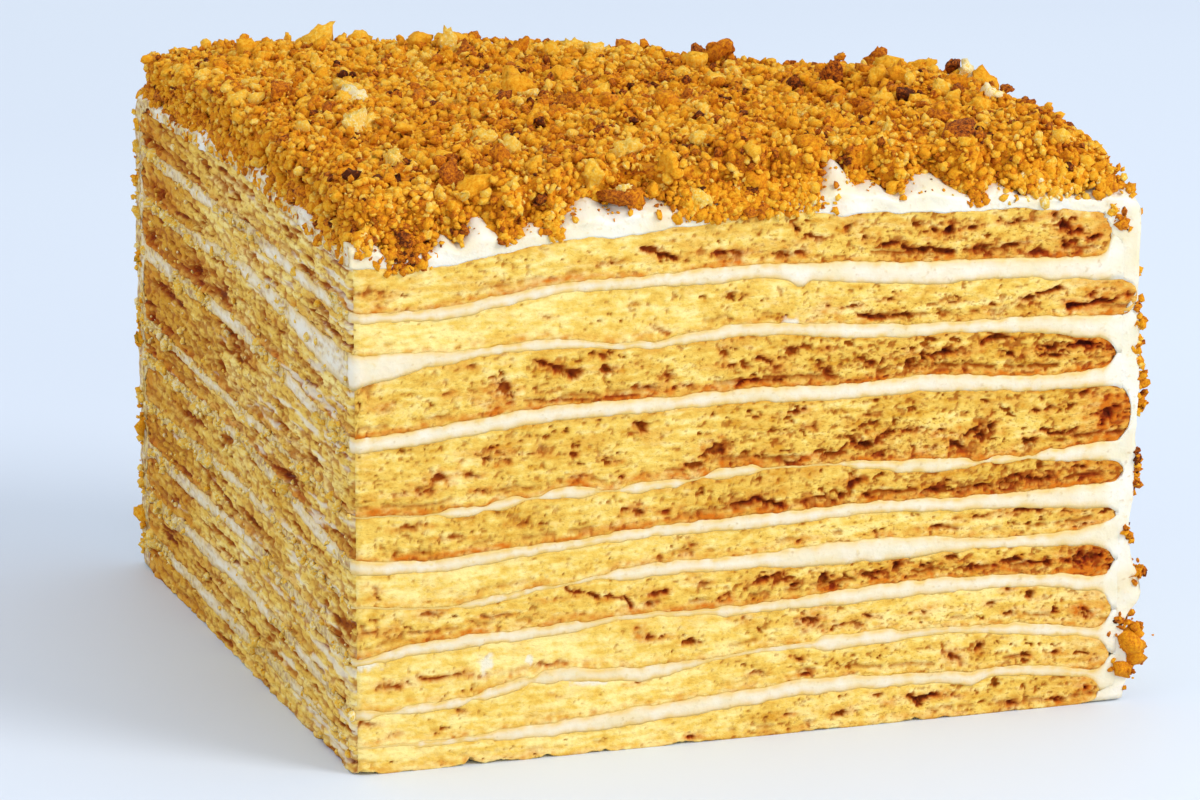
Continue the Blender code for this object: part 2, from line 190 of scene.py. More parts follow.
@dataclass
class LayerLines:
    """Where the faces between the layers lie.

    The lines of the CAD layers carry the shape of the whole. On them lie the dips and
    swells between two of its grid lines, which the cuts show, and the raggedness of a
    cut edge. Line 0 is the underside of the lowest sponge, and the sponge with number n
    lies between the lines 2n - 2 and 2n - 1.
    """

    cells: int = 8
    inset: float = 0.4                # rays stay this far inside the cuts
    outermost: float = 104.5          # and inside this radius
    lift: float = 0.15                # half the clearance between two CAD solids
    wave_size: float = 11.0           # slow swells along a line
    wave_height: float = 0.3
    ragged_size: float = 2.3          # tears along a cut edge
    ragged_height: float = 0.45
    # Heights read on the front cut between the grid lines: line, place, height, half width.
    swells: Rows = (
        (17, 56.0, 63.2, 6.5), (17, 62.0, 61.5, 1.8), (17, 97.8, 59.9, 2.6),
        (19, 44.0, 70.9, 3.0), (19, 55.0, 72.1, 9.0), (19, 68.0, 70.8, 2.5),
        (2, 87.0, 6.2, 3.5), (1, 87.0, 4.4, 3.5),
    )
    # Where a cream is squeezed thin along the front cut: its number, from, to, what is left.
    squeezes: Rows = (
        (6, -5.0, 12.5, 0.10), (6, 17.2, 18.8, 0.3), (6, 23.0, 26.5, 0.15),
        (6, 33.5, 37.5, 0.1), (6, 45.5, 49.5, 0.1), (6, 56.0, 68.5, 0.12),
        (6, 86.8, 89.8, 0.2), (6, 93.2, 96.6, 0.3),
        (9, -5.0, 32.0, 0.74), (5, -5.0, 36.0, 0.7), (7, -5.0, 20.0, 0.88),
        (4, -5.0, 15.0, 0.25), (4, 27.0, 35.5, 0.4),
        (3, -5.0, 4.0, 0.4), (3, 4.0, 31.0, 0.74), (3, 31.0, 51.0, 0.45),
        (2, 3.0, 6.5, 0.2), (2, 15.2, 17.5, 0.3), (2, 23.6, 25.5, 0.3),
        (2, 48.0, 65.0, 0.35), (2, 76.0, 90.0, 0.7),
        (1, -5.0, 9.0, 0.2), (1, 9.0, 19.0, 0.5),
    )
    # Crumbs lost from the lowest edge on the front cut: place, half width, height.
    chips: Rows = (
        (1.5, 3.0, 0.9), (16.0, 2.2, 0.8), (20.5, 3.2, 0.5), (26.2, 2.4, 0.4),
        (34.0, 2.2, 0.5), (46.0, 2.6, 0.3), (66.0, 2.4, 0.45), (78.5, 2.0, 0.4),
    )
    tip: Vector = field(init=False)
    heights: Array = field(init=False)

    def __post_init__(self) -> None:
        """Read the heights of all lines from the CAD layers."""
        self.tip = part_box("sponge_01")[0].copy()
        names = ["sponge_01"]
        for number in range(2, SPONGES + 1):
            names += [f"cream_{number - 1:02d}", f"sponge_{number:02d}"]
        count = len(names)
        self.heights = np.zeros((count + 1, self.cells + 1, self.cells + 1))
        found = np.zeros((count, 2, self.cells + 1, self.cells + 1))
        share = np.linspace(0.0, 1.0, self.cells + 1)
        for index, name in enumerate(names):
            tree = self.tree_of(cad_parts[name])
            for i, u in enumerate(share):
                for j, v in enumerate(share):
                    x, y = self.inside(*square_to_wedge(u, v))
                    found[index, :, i, j] = self.span_of(tree, x, y)
        for line in range(1, count):
            self.heights[line] = 0.5 * (found[line - 1, 1] + found[line, 0])
        self.heights[count] = found[count - 1, 1] + self.lift

    def tree_of(self, thing: bpy.types.Object) -> BVHTree:
        """Search tree of a CAD solid's faces."""
        corners = [vert.co for vert in thing.data.vertices]
        return BVHTree.FromPolygons(corners, [tuple(p.vertices) for p in thing.data.polygons])

    def inside(self, x: float, y: float) -> tuple[float, float]:
        """Move a place in from the cuts and the rim, so that a ray meets every layer."""
        x, y = max(x, self.inset), max(y, self.inset)
        pull = min(1.0, self.outermost / math.hypot(x, y))
        return x * pull, y * pull

    def span_of(self, tree: BVHTree, x: float, y: float) -> tuple[float, float]:
        """Heights of a layer's underside and top, straight above a place."""
        above = self.tip + Vector((x, y, FAR)) * MM
        below = self.tip + Vector((x, y, -FAR)) * MM
        low = tree.ray_cast(below, Vector((0.0, 0.0, 1.0)))[0]
        high = tree.ray_cast(above, Vector((0.0, 0.0, -1.0)))[0]
        return (low.z - self.tip.z) / MM, (high.z - self.tip.z) / MM

    def plain(self, line: int, x: Array, y: Array) -> Array:
        """Height of a line from the CAD alone, smooth between its grid lines."""
        u, v = wedge_to_square(x, y)
        at_u, at_v = u * self.cells, v * self.cells
        i = np.clip(np.floor(at_u), 0, self.cells - 1).astype(int)
        j = np.clip(np.floor(at_v), 0, self.cells - 1).astype(int)
        table = np.pad(self.heights[line], 1, mode="reflect", reflect_type="odd")
        along_u, along_v = four_shares(at_u - i), four_shares(at_v - j)
        total = np.zeros(len(x))
        for a in range(4):
            for b in range(4):
                total += along_u[a] * along_v[b] * table[i + a, j + b]
        return total

    def near_cut(self, x: Array, y: Array, fade: float) -> Array:
        """How strongly a detail of the cuts holds at a place: 1 on them, less inside."""
        return np.exp(-np.minimum(x, y) / fade)

    def height(self, line: int, x: Array, y: Array) -> Array:
        """Height of a line with all its detail.

        Args:
            line: number of the line.
            x: distances along the front cut.
            y: distances along the side cut.

        Returns:
            The heights in millimetres.
        """
        base = self.eased(line, x, y)
        cream = (line + 1) // 2
        partner = line + 1 if line % 2 else line - 1
        if 1 <= line <= 2 * SPONGES - 2:
            other = self.eased(partner, x, y)
            loss = np.zeros(len(x))
            for number, low, high, left in self.squeezes:
                if number == cream:
                    loss = np.maximum(loss, (1.0 - left) * stretch_between(x, low, high, 2.2))
            loss *= np.exp(-y / 6.0)
            base = base + 0.5 * loss * (other - base)
        return base

    def eased(self, line: int, x: Array, y: Array) -> Array:
        """Height of a line with its waves, swells and tears, before creams are squeezed."""
        edge = self.near_cut(x, y, 1.5)
        if line == 0:
            flat = places_of(x, y, 0.0)
            loss = sum(bump_at(x, place, half) * deep for place, half, deep in self.chips)
            loss = loss * np.clip(0.8 + 1.3 * Grain(92).layered(flat, 1.1, 3), 0.1, 1.4)
            tear = Grain(91).layered(flat, 1.6, 2)
            return edge * (loss * (y < 3.0) + 0.35 * np.clip(tear, 0.0, 1.0))
        result = self.plain(line, x, y)
        for owner, place, height, half in self.swells:
            if owner == line:
                spot = (np.array([place]), np.array([0.0]))
                rise = height - self.plain(line, *spot)[0]
                result = result + rise * bump_at(x, place, half) * np.exp(-y / 8.0)
        flat = places_of(x, y, 13.0 * line)
        result = result + self.wave_height * Grain(line).smooth(flat, self.wave_size)
        ragged = Grain(40 + line).layered(flat, self.ragged_size, 4)
        return result + self.ragged_height * edge * ragged


def places_of(x: Array, y: Array, z: Array | float) -> Array:
    """Three columns of places from their coordinates."""
    return np.column_stack((x, y, np.broadcast_to(z, np.shape(x))))


def four_shares(t: Array) -> tuple[Array, Array, Array, Array]:
    """Weights of four evenly spaced values, for a smooth curve through the middle two."""
    t2, t3 = t * t, t * t * t
    return (
        0.5 * (-t + 2.0 * t2 - t3),
        0.5 * (2.0 - 5.0 * t2 + 3.0 * t3),
        0.5 * (t + 4.0 * t2 - 3.0 * t3),
        0.5 * (-t2 + t3),
    )


def square_to_wedge(u: Array, v: Array) -> tuple[Array, Array]:
    """Place on the quarter round of a point on the unit square."""
    x = INNER_RADIUS * u * np.sqrt(1.0 - 0.5 * v * v)
    y = INNER_RADIUS * v * np.sqrt(1.0 - 0.5 * u * u)
    return x, y


def wedge_to_square(x: Array, y: Array) -> tuple[Array, Array]:
    """Point on the unit square of a place on the quarter round."""
    reach = np.maximum(np.hypot(x, y), 1e-6)
    pull = np.minimum(1.0, 0.9999 * INNER_RADIUS / reach) / INNER_RADIUS
    a, b = x * pull, y * pull
    root = 2.0 * math.sqrt(2.0)
    across, up = 2.0 + a * a - b * b, 2.0 - a * a + b * b
    u = np.sqrt(np.maximum(across + root * a, 0.0)) - np.sqrt(np.maximum(across - root * a, 0.0))
    v = np.sqrt(np.maximum(up + root * b, 0.0)) - np.sqrt(np.maximum(up - root * b, 0.0))
    return np.clip(0.5 * u, 0.0, 1.0), np.clip(0.5 * v, 0.0, 1.0)


# Meshes


def unit_slab(cells: int, rows: int, splits: tuple[int, int]) -> bmesh.types.BMesh:
    """Make a closed slab over the unit square, with finer faces on the two cut walls.

    Args:
        cells: squares along each side.
        rows: rows of faces up the wall.
        splits: how many times each square's edge is split on the front and the side cut.

    Returns:
        The slab, with the row number as its height.
    """
    shape = bmesh.new()
    bmesh.ops.create_grid(shape, x_segments=cells, y_segments=cells, size=0.5)
    bmesh.ops.translate(shape, verts=shape.verts, vec=(0.5, 0.5, 0.0))
    top = [*shape.verts, *shape.edges, *shape.faces]
    for _ in range(rows):
        top = bmesh.ops.extrude_face_region(shape, geom=top)["geom"]
        raised = [part for part in top if isinstance(part, bmesh.types.BMVert)]
        bmesh.ops.translate(shape, verts=raised, vec=(0.0, 0.0, 1.0))
    bmesh.ops.recalc_face_normals(shape, faces=shape.faces)
    nearly = 0.1 / cells
    level = [e for e in shape.edges if abs(e.verts[0].co.z - e.verts[1].co.z) < 0.5]
    on_front = [e for e in level if max(v.co.y for v in e.verts) < nearly]
    on_side = [e for e in level if max(v.co.x for v in e.verts) < nearly]
    bmesh.ops.subdivide_edges(shape, edges=on_front, cuts=splits[0])
    bmesh.ops.subdivide_edges(shape, edges=on_side, cuts=splits[1])
    fans = [face for face in shape.faces if len(face.verts) > 4]
    bmesh.ops.triangulate(shape, faces=fans, quad_method="BEAUTY", ngon_method="BEAUTY")
    return shape


def mesh_of(shape: bmesh.types.BMesh, name: str) -> bpy.types.Mesh:
    """Turn a finished shape into a mesh and free it."""
    mesh = bpy.data.meshes.new(name)
    shape.to_mesh(mesh)
    shape.free()
    return mesh


def places_in(mesh: bpy.types.Mesh) -> Array:
    """Three columns with the place of each vertex."""
    flat = np.empty(3 * len(mesh.vertices), np.float32)
    mesh.vertices.foreach_get("co", flat)
    return flat.reshape(-1, 3).astype(float)


def put_places(mesh: bpy.types.Mesh, places: Array, tip: Vector) -> None:
    """Write millimetres from the knife tip into a mesh, as metres in the row frame."""
    world = np.array(tip) + places * MM
    mesh.vertices.foreach_set("co", world.astype(np.float32).ravel())
    mesh.update()


def put_values(mesh: bpy.types.Mesh, **values: Array) -> None:
    """Store one number for each vertex under each given name."""
    for name, numbers in values.items():
        layer = mesh.attributes.new(name, "FLOAT", "POINT")
        layer.data.foreach_set("value", np.asarray(numbers, np.float32))


def covered_faces(mesh: bpy.types.Mesh) -> Array:
    """Tell which faces of a slab over the unit square aren't on one of the two cuts."""
    normals = np.empty(3 * len(mesh.polygons), np.float32)
    mesh.polygons.foreach_get("normal", normals)
    return np.minimum(normals[0::3], normals[1::3]) > -0.5


def show(mesh: bpy.types.Mesh, finish: bpy.types.Material, nodes: list[str],
         hidden: Array | None = None) -> bpy.types.Object:
    """Put a mesh into the scene as a piece of the cake, shaded smooth.

    Args:
        mesh: the finished mesh, which gives the piece its name.
        finish: the material.
        nodes: the CAD nodes that the piece stands for.
        hidden: faces that another layer covers. They stay flat, so that they don't shade
            the edge of the cut.

    Returns:
        The new object.
    """
    thing = bpy.data.objects.new(mesh.name, mesh)
    bpy.context.scene.collection.objects.link(thing)
    mesh.materials.append(finish)
    smooth = np.ones(len(mesh.polygons), bool) if hidden is None else ~hidden
    mesh.polygons.foreach_set("use_smooth", smooth)
    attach(thing, "root")
    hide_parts(*nodes)
    mesh.calc_loop_triangles()
    LOG.info("%s: %d triangles", thing.name, len(mesh.loop_triangles))
    return thing


@dataclass
class CutWalls:
    """The vertices of a slab that lie on the two knife cuts."""

    unit: Array
    tip_round: float = 1.5          # how far the corner between the cuts is blunted
    front: Array = field(init=False)
    side: Array = field(init=False)

    def __post_init__(self) -> None:
        """Find the vertices on each cut."""
        self.front = self.unit[:, 1] < 1e-5
        self.side = self.unit[:, 0] < 1e-5

    def blunt(self, x: Array, y: Array) -> tuple[Array, Array, Array, Array]:
        """Round the corner between the cuts, and find which way the walls face in.

        Args:
            x: distances along the front cut.
            y: distances along the side cut.

        Returns:
            The new x and y, and the two parts of the inward direction on the walls.
        """
        into_x, into_y = np.where(self.side, 1.0, 0.0), np.where(self.front, 1.0, 0.0)
        radius = self.tip_round
        for wall, along in ((self.front, x), (self.side, y)):
            near = wall & (along < radius)
            turn = 0.25 * math.pi * (1.0 - along / radius)
            reach, depth = radius * (1.0 - np.sin(turn)), radius * (1.0 - np.cos(turn))
            if wall is self.front:
                x, y = np.where(near, reach, x), np.where(near, depth, y)
                into_x = np.where(near, np.sin(turn), into_x)
                into_y = np.where(near, np.cos(turn), into_y)
            else:
                near &= ~self.front
                y, x = np.where(near, reach, y), np.where(near, depth, x)
                into_y = np.where(near, np.sin(turn), into_y)
                into_x = np.where(near, np.cos(turn), into_x)
        return x, y, into_x, into_y


# The sponges


@dataclass(frozen=True)
class RimEnds:
    """How far out each sponge's baked rim reaches at the front cut, and its rounding."""

    front: tuple[float, ...] = (106.0, 107.3, 107.5, 107.8, 108.0, 109.0, 109.9, 107.5, 110.4,
                                106.6)
    inside: float = 107.2           # reach away from the front cut
    nose: float = 2.4               # length of the rounded end
    turn_width: float = 14.0        # the front reach fades out over this distance

    def reach(self, number: int, y: Array) -> Array:
        """Outermost radius of a sponge, by the distance behind the front cut."""
        own = self.front[number - 1]
        return self.inside + (own - self.inside) * np.exp(-((y / self.turn_width) ** 2))

    def drawn_in(self, share: Array) -> Array:
        """How far the nose is drawn in, by the share of the height from 0 to 1."""
        off_middle = np.clip(np.abs(2.0 * share - 1.0), 0.0, 1.0)
        return self.nose * (1.0 - np.sqrt(1.0 - off_middle**2))


# Pits and tears read on the front cut, from the tip: place, height, length, thickness, and
# how dark it is. They are grouped by sponge, from the top one down.
PITS: Rows = (
    (2.4, 65.0, 4.2, 0.8, 0.6), (52.0, 66.8, 5.0, 0.7, 0.8), (61.6, 69.4, 0.9, 0.9, 0.8),
    (63.7, 68.2, 2.0, 0.4, 0.7), (59.5, 66.2, 2.5, 0.5, 0.7), (61.8, 66.4, 2.0, 0.6, 0.7),
    (69.8, 69.3, 2.0, 1.2, 0.7), (75.0, 66.7, 2.5, 0.8, 0.9), (82.5, 67.7, 3.5, 1.2, 1.0),
    (86.0, 68.2, 2.4, 0.7, 0.9), (93.0, 68.3, 3.5, 0.4, 0.8), (98.0, 69.0, 1.2, 0.7, 0.9),
    (92.3, 65.2, 3.0, 0.9, 0.9), (88.0, 65.0, 2.5, 1.0, 0.9), (99.8, 66.9, 2.0, 1.3, 1.0),
    (101.6, 66.0, 1.6, 1.0, 1.0), (103.8, 65.2, 1.4, 0.6, 1.0), (96.0, 64.0, 1.5, 0.9, 0.8),
    (100.0, 64.2, 2.0, 1.5, 0.9), (20.5, 64.9, 2.4, 0.6, 0.45), (27.7, 65.4, 1.5, 0.4, 0.4),
    (36.3, 67.0, 2.2, 0.5, 0.4), (71.5, 67.8, 1.6, 0.5, 0.7), (79.0, 68.9, 2.0, 0.5, 0.7),
    (26.8, 60.1, 1.0, 0.4, 0.5), (39.3, 60.6, 1.2, 0.4, 0.45), (53.0, 61.3, 2.0, 0.6, 0.5),
    (65.9, 58.7, 1.4, 1.0, 0.8), (69.0, 58.5, 2.5, 0.4, 0.7), (74.8, 59.1, 1.6, 0.6, 0.85),
    (89.5, 57.0, 2.0, 0.4, 0.7), (95.0, 57.3, 1.5, 0.6, 0.8), (103.9, 57.6, 1.2, 0.8, 0.85),
    (84.0, 57.9, 1.8, 0.4, 0.6), (108.6, 56.9, 1.3, 0.9, 0.6),
    (2.5, 52.8, 2.0, 1.5, 0.35), (4.8, 49.7, 2.0, 0.5, 0.6), (12.8, 50.8, 1.2, 0.6, 0.6),
    (16.5, 54.1, 2.0, 0.4, 0.6), (20.7, 50.7, 2.8, 1.8, 0.9), (35.0, 52.3, 2.4, 0.6, 0.9),
    (27.0, 50.2, 2.5, 0.4, 0.6), (34.5, 54.2, 2.0, 0.5, 0.6), (40.8, 49.6, 1.8, 0.5, 0.7),
    (43.2, 51.0, 1.1, 0.9, 0.8), (45.5, 49.2, 3.0, 0.4, 0.7), (51.5, 53.6, 0.8, 0.8, 0.7),
    (53.2, 51.7, 2.2, 0.5, 0.8), (58.2, 50.8, 1.2, 0.7, 0.9), (65.8, 52.7, 1.3, 0.6, 0.9),
    (65.3, 49.9, 2.2, 0.7, 0.9), (71.8, 50.6, 2.0, 0.5, 0.8), (73.7, 50.5, 1.0, 0.8, 0.9),
    (82.0, 51.0, 5.0, 0.9, 1.0), (88.0, 51.8, 1.2, 0.6, 0.8), (90.8, 52.5, 3.0, 0.6, 0.9),
    (92.3, 50.3, 1.8, 0.8, 0.9), (97.5, 50.4, 3.0, 0.5, 0.9), (98.3, 49.2, 2.0, 0.7, 0.9),
    (103.5, 50.5, 4.5, 0.8, 1.0), (61.0, 53.5, 1.4, 0.4, 0.7), (78.0, 49.8, 2.0, 0.5, 0.8),
    (18.7, 42.1, 3.5, 0.9, 0.75), (20.8, 41.0, 1.3, 0.7, 0.8), (12.5, 39.7, 2.5, 0.8, 0.9),
    (15.8, 39.7, 3.5, 0.5, 0.75), (9.5, 38.2, 2.5, 0.7, 0.8), (17.6, 37.5, 1.3, 0.5, 0.9),
    (31.2, 38.2, 1.8, 0.7, 0.9), (37.0, 37.6, 1.0, 0.5, 0.9), (39.7, 44.1, 1.5, 0.8, 0.9),
    (26.3, 42.2, 1.0, 1.0, 0.6), (30.2, 41.4, 1.0, 0.5, 0.7), (35.5, 40.2, 1.5, 0.5, 0.6),
    (50.3, 40.2, 2.4, 1.6, 1.0), (61.5, 38.0, 3.0, 0.5, 0.9), (71.7, 39.4, 3.2, 0.7, 0.95),
    (74.3, 40.8, 2.5, 0.6, 0.85), (63.7, 42.5, 1.2, 0.6, 0.8), (47.0, 38.3, 2.4, 0.7, 0.8),
    (77.4, 40.6, 1.5, 0.6, 0.85), (82.4, 40.4, 1.5, 0.5, 0.85), (88.0, 39.9, 3.2, 1.2, 1.0),
    (94.5, 37.8, 1.5, 0.7, 0.9), (84.5, 38.0, 3.0, 0.8, 0.9), (99.0, 38.6, 3.5, 0.4, 0.85),
    (103.3, 43.6, 1.3, 0.5, 0.8), (106.4, 40.8, 2.2, 1.9, 1.0), (72.3, 43.4, 1.8, 0.4, 0.7),
    (96.8, 42.0, 2.2, 0.5, 0.75), (62.0, 44.6, 1.2, 0.4, 0.7), (56.0, 44.6, 1.2, 0.4, 0.6),
    (7.8, 33.2, 2.5, 0.5, 0.7), (39.0, 32.3, 1.6, 1.0, 0.9), (43.2, 32.6, 2.5, 0.5, 0.8),
    (14.0, 31.4, 4.0, 0.4, 0.6), (22.8, 32.4, 1.8, 0.4, 0.6), (70.2, 34.1, 2.0, 0.6, 0.9),
    (65.0, 32.5, 2.2, 0.6, 0.9), (68.2, 32.6, 1.2, 0.6, 0.9), (71.7, 32.2, 2.0, 0.4, 0.85),
    (95.2, 32.4, 5.4, 0.9, 1.0), (102.3, 33.5, 1.5, 0.6, 0.9), (83.0, 33.4, 1.5, 0.5, 0.8),
    (81.0, 32.2, 2.0, 0.5, 0.8), (90.0, 35.4, 2.5, 0.4, 0.8), (87.0, 31.9, 5.0, 0.35, 0.75),
    (3.0, 25.4, 1.5, 1.0, 0.5), (47.5, 27.5, 1.3, 0.9, 0.6), (42.2, 26.3, 1.0, 0.5, 0.5),
    (46.0, 26.0, 1.0, 0.4, 0.5), (63.0, 27.0, 1.3, 0.4, 0.6), (73.0, 26.9, 1.3, 0.4, 0.6),
    (88.0, 27.9, 4.0, 0.45, 0.7), (94.6, 28.1, 5.0, 0.6, 0.85), (82.0, 26.9, 3.0, 0.4, 0.7),
    (101.0, 27.4, 1.5, 0.4, 0.6),
    (2.2, 19.5, 4.0, 0.5, 0.6), (10.3, 21.3, 2.0, 0.6, 0.65), (9.0, 18.9, 4.0, 0.4, 0.5),
    (20.0, 20.1, 5.0, 0.35, 0.5), (28.5, 21.6, 3.0, 0.35, 0.6), (41.1, 20.0, 1.1, 0.5, 0.8),
    (42.5, 21.4, 1.2, 0.7, 0.8), (48.3, 22.3, 1.8, 0.5, 0.8), (52.2, 19.7, 1.3, 0.5, 0.8),
    (57.8, 21.9, 2.5, 0.7, 0.95), (61.2, 21.0, 2.5, 0.5, 0.8), (66.0, 21.0, 2.2, 1.2, 0.95),
    (72.5, 21.3, 2.0, 0.6, 0.85), (76.2, 22.2, 1.4, 1.0, 0.9), (79.4, 22.0, 1.3, 0.5, 0.85),
    (84.3, 22.1, 2.0, 0.7, 0.95), (86.8, 20.9, 2.0, 0.6, 0.85), (92.5, 21.4, 3.0, 0.6, 0.9),
    (97.2, 20.6, 3.5, 0.6, 0.95), (103.5, 20.8, 4.5, 1.3, 1.0),
    (5.8, 11.9, 3.6, 0.5, 0.7), (12.8, 12.5, 8.5, 0.5, 0.8), (27.0, 12.7, 5.0, 0.4, 0.5),
    (39.4, 16.2, 1.4, 0.7, 0.9), (41.2, 15.5, 1.0, 0.6, 0.9), (42.8, 15.1, 1.5, 0.4, 0.8),
    (46.3, 13.9, 1.2, 0.5, 0.7), (54.0, 16.8, 1.8, 0.9, 0.6), (64.1, 15.5, 2.2, 1.2, 1.0),
    (72.5, 15.4, 1.5, 0.5, 0.8), (92.7, 17.3, 1.5, 0.6, 0.85), (95.5, 16.3, 1.0, 0.8, 0.9),
    (89.5, 15.4, 1.3, 0.5, 0.8), (92.3, 14.3, 1.5, 0.5, 0.8), (98.5, 13.9, 1.2, 0.4, 0.8),
    (103.6, 13.0, 2.2, 0.8, 0.95), (80.5, 15.6, 1.6, 0.5, 0.75), (78.0, 15.0, 1.2, 0.4, 0.7),
    (5.5, 5.3, 1.4, 0.6, 0.6), (1.2, 6.8, 2.0, 0.5, 0.6), (14.8, 7.3, 2.0, 0.4, 0.5),
    (28.3, 8.5, 1.4, 0.4, 0.5), (39.4, 9.1, 1.2, 0.5, 0.7), (56.2, 8.9, 1.6, 0.4, 0.6),
    (63.2, 8.1, 1.3, 0.4, 0.8), (62.3, 10.6, 1.6, 0.4, 0.8), (84.7, 8.8, 1.3, 1.0, 0.85),
    (88.0, 9.5, 1.2, 1.0, 0.8), (95.0, 7.8, 1.8, 0.6, 0.9), (99.6, 7.6, 1.4, 0.5, 0.8),
    (68.2, 2.2, 1.7, 0.7, 0.9), (47.1, 1.1, 1.2, 0.5, 0.8), (80.5, 3.2, 5.5, 0.7, 1.0),
    (92.5, 1.2, 1.6, 0.5, 0.8), (99.0, 1.0, 1.5, 0.5, 0.8), (104.3, 2.1, 1.0, 0.6, 0.9),
    (60.8, 2.6, 1.2, 0.4, 0.7), (73.6, 4.2, 1.4, 0.4, 0.7),
)
# Cracks on the front cut: from and to, each a place and a height, then thickness and dark.
CRACKS: Rows = (
    (40.3, 68.6, 44.7, 66.6, 0.6, 0.9), (76.5, 65.9, 84.0, 64.8, 0.6, 0.9),
    (70.5, 57.0, 78.0, 56.6, 0.45, 0.85), (96.0, 57.9, 100.0, 58.5, 0.45, 0.85),
    (100.5, 55.8, 107.0, 56.4, 0.6, 1.0), (41.0, 58.0, 43.5, 57.0, 0.3, 0.4),
    (26.0, 54.1, 30.8, 52.3, 0.7, 1.0), (56.3, 52.3, 58.0, 51.6, 0.4, 0.8),
    (54.0, 49.2, 60.0, 49.2, 0.5, 0.9), (25.0, 48.9, 40.0, 48.5, 0.3, 0.6),
    (52.0, 32.2, 55.8, 32.9, 0.65, 1.0), (55.8, 32.9, 59.6, 32.1, 0.65, 1.0),
    (29.5, 23.3, 34.0, 21.3, 0.45, 0.9), (34.0, 21.3, 37.5, 21.2, 0.45, 0.9),
    (37.5, 21.2, 38.5, 20.0, 0.45, 0.9), (67.0, 14.3, 71.0, 14.4, 0.4, 0.5),
    (66.0, 38.0, 69.0, 39.4, 0.4, 0.7),
)
# The same on the side cut, where the knife tore the crumb: place, height, length, thickness
# and dark.
SIDE_PITS: Rows = (
    (30.0, 33.0, 7.0, 1.3, 1.0), (35.0, 39.5, 11.0, 1.0, 0.8), (55.0, 45.0, 10.0, 1.1, 0.8),
    (77.0, 51.5, 10.0, 1.6, 1.0), (97.5, 58.5, 9.0, 1.6, 0.9), (102.0, 65.0, 9.0, 1.7, 0.9),
    (97.5, 44.5, 6.0, 1.3, 0.9), (85.5, 28.7, 6.0, 1.3, 0.9), (101.5, 38.5, 7.0, 1.5, 0.9),
    (14.0, 60.5, 6.0, 0.8, 0.7), (62.0, 67.0, 8.0, 1.0, 0.7), (88.0, 17.0, 8.0, 1.1, 0.8),
    (44.0, 22.0, 7.0, 0.8, 0.7), (70.0, 8.5, 8.0, 1.0, 0.7), (20.0, 15.5, 5.0, 0.7, 0.7),
    (102.0, 51.0, 6.0, 1.5, 0.9), (66.0, 40.0, 7.0, 1.0, 0.8), (48.0, 60.0, 7.0, 0.9, 0.7),
)
# Cream dragged over the sponge by the knife on the front cut: place, height, half sizes.
SMEARS: Rows = (
    (18.2, 13.8, 0.9, 1.2), (24.2, 13.8, 0.5, 0.5), (1.6, 15.0, 2.0, 0.6), (61.0, 57.0, 1.2, 0.4),
    (33.0, 9.9, 3.0, 0.5),
)


# What each vertex of a sponge stores for its finish, from 0 to 1.
# The pore value is painted shade in the pores, pits, cracks and torn gaps, on top of the browner
# baked crumb of their walls.
SPONGE_VALUES = ("pore_and_shade", "crust", "smear", "tone", "specks")


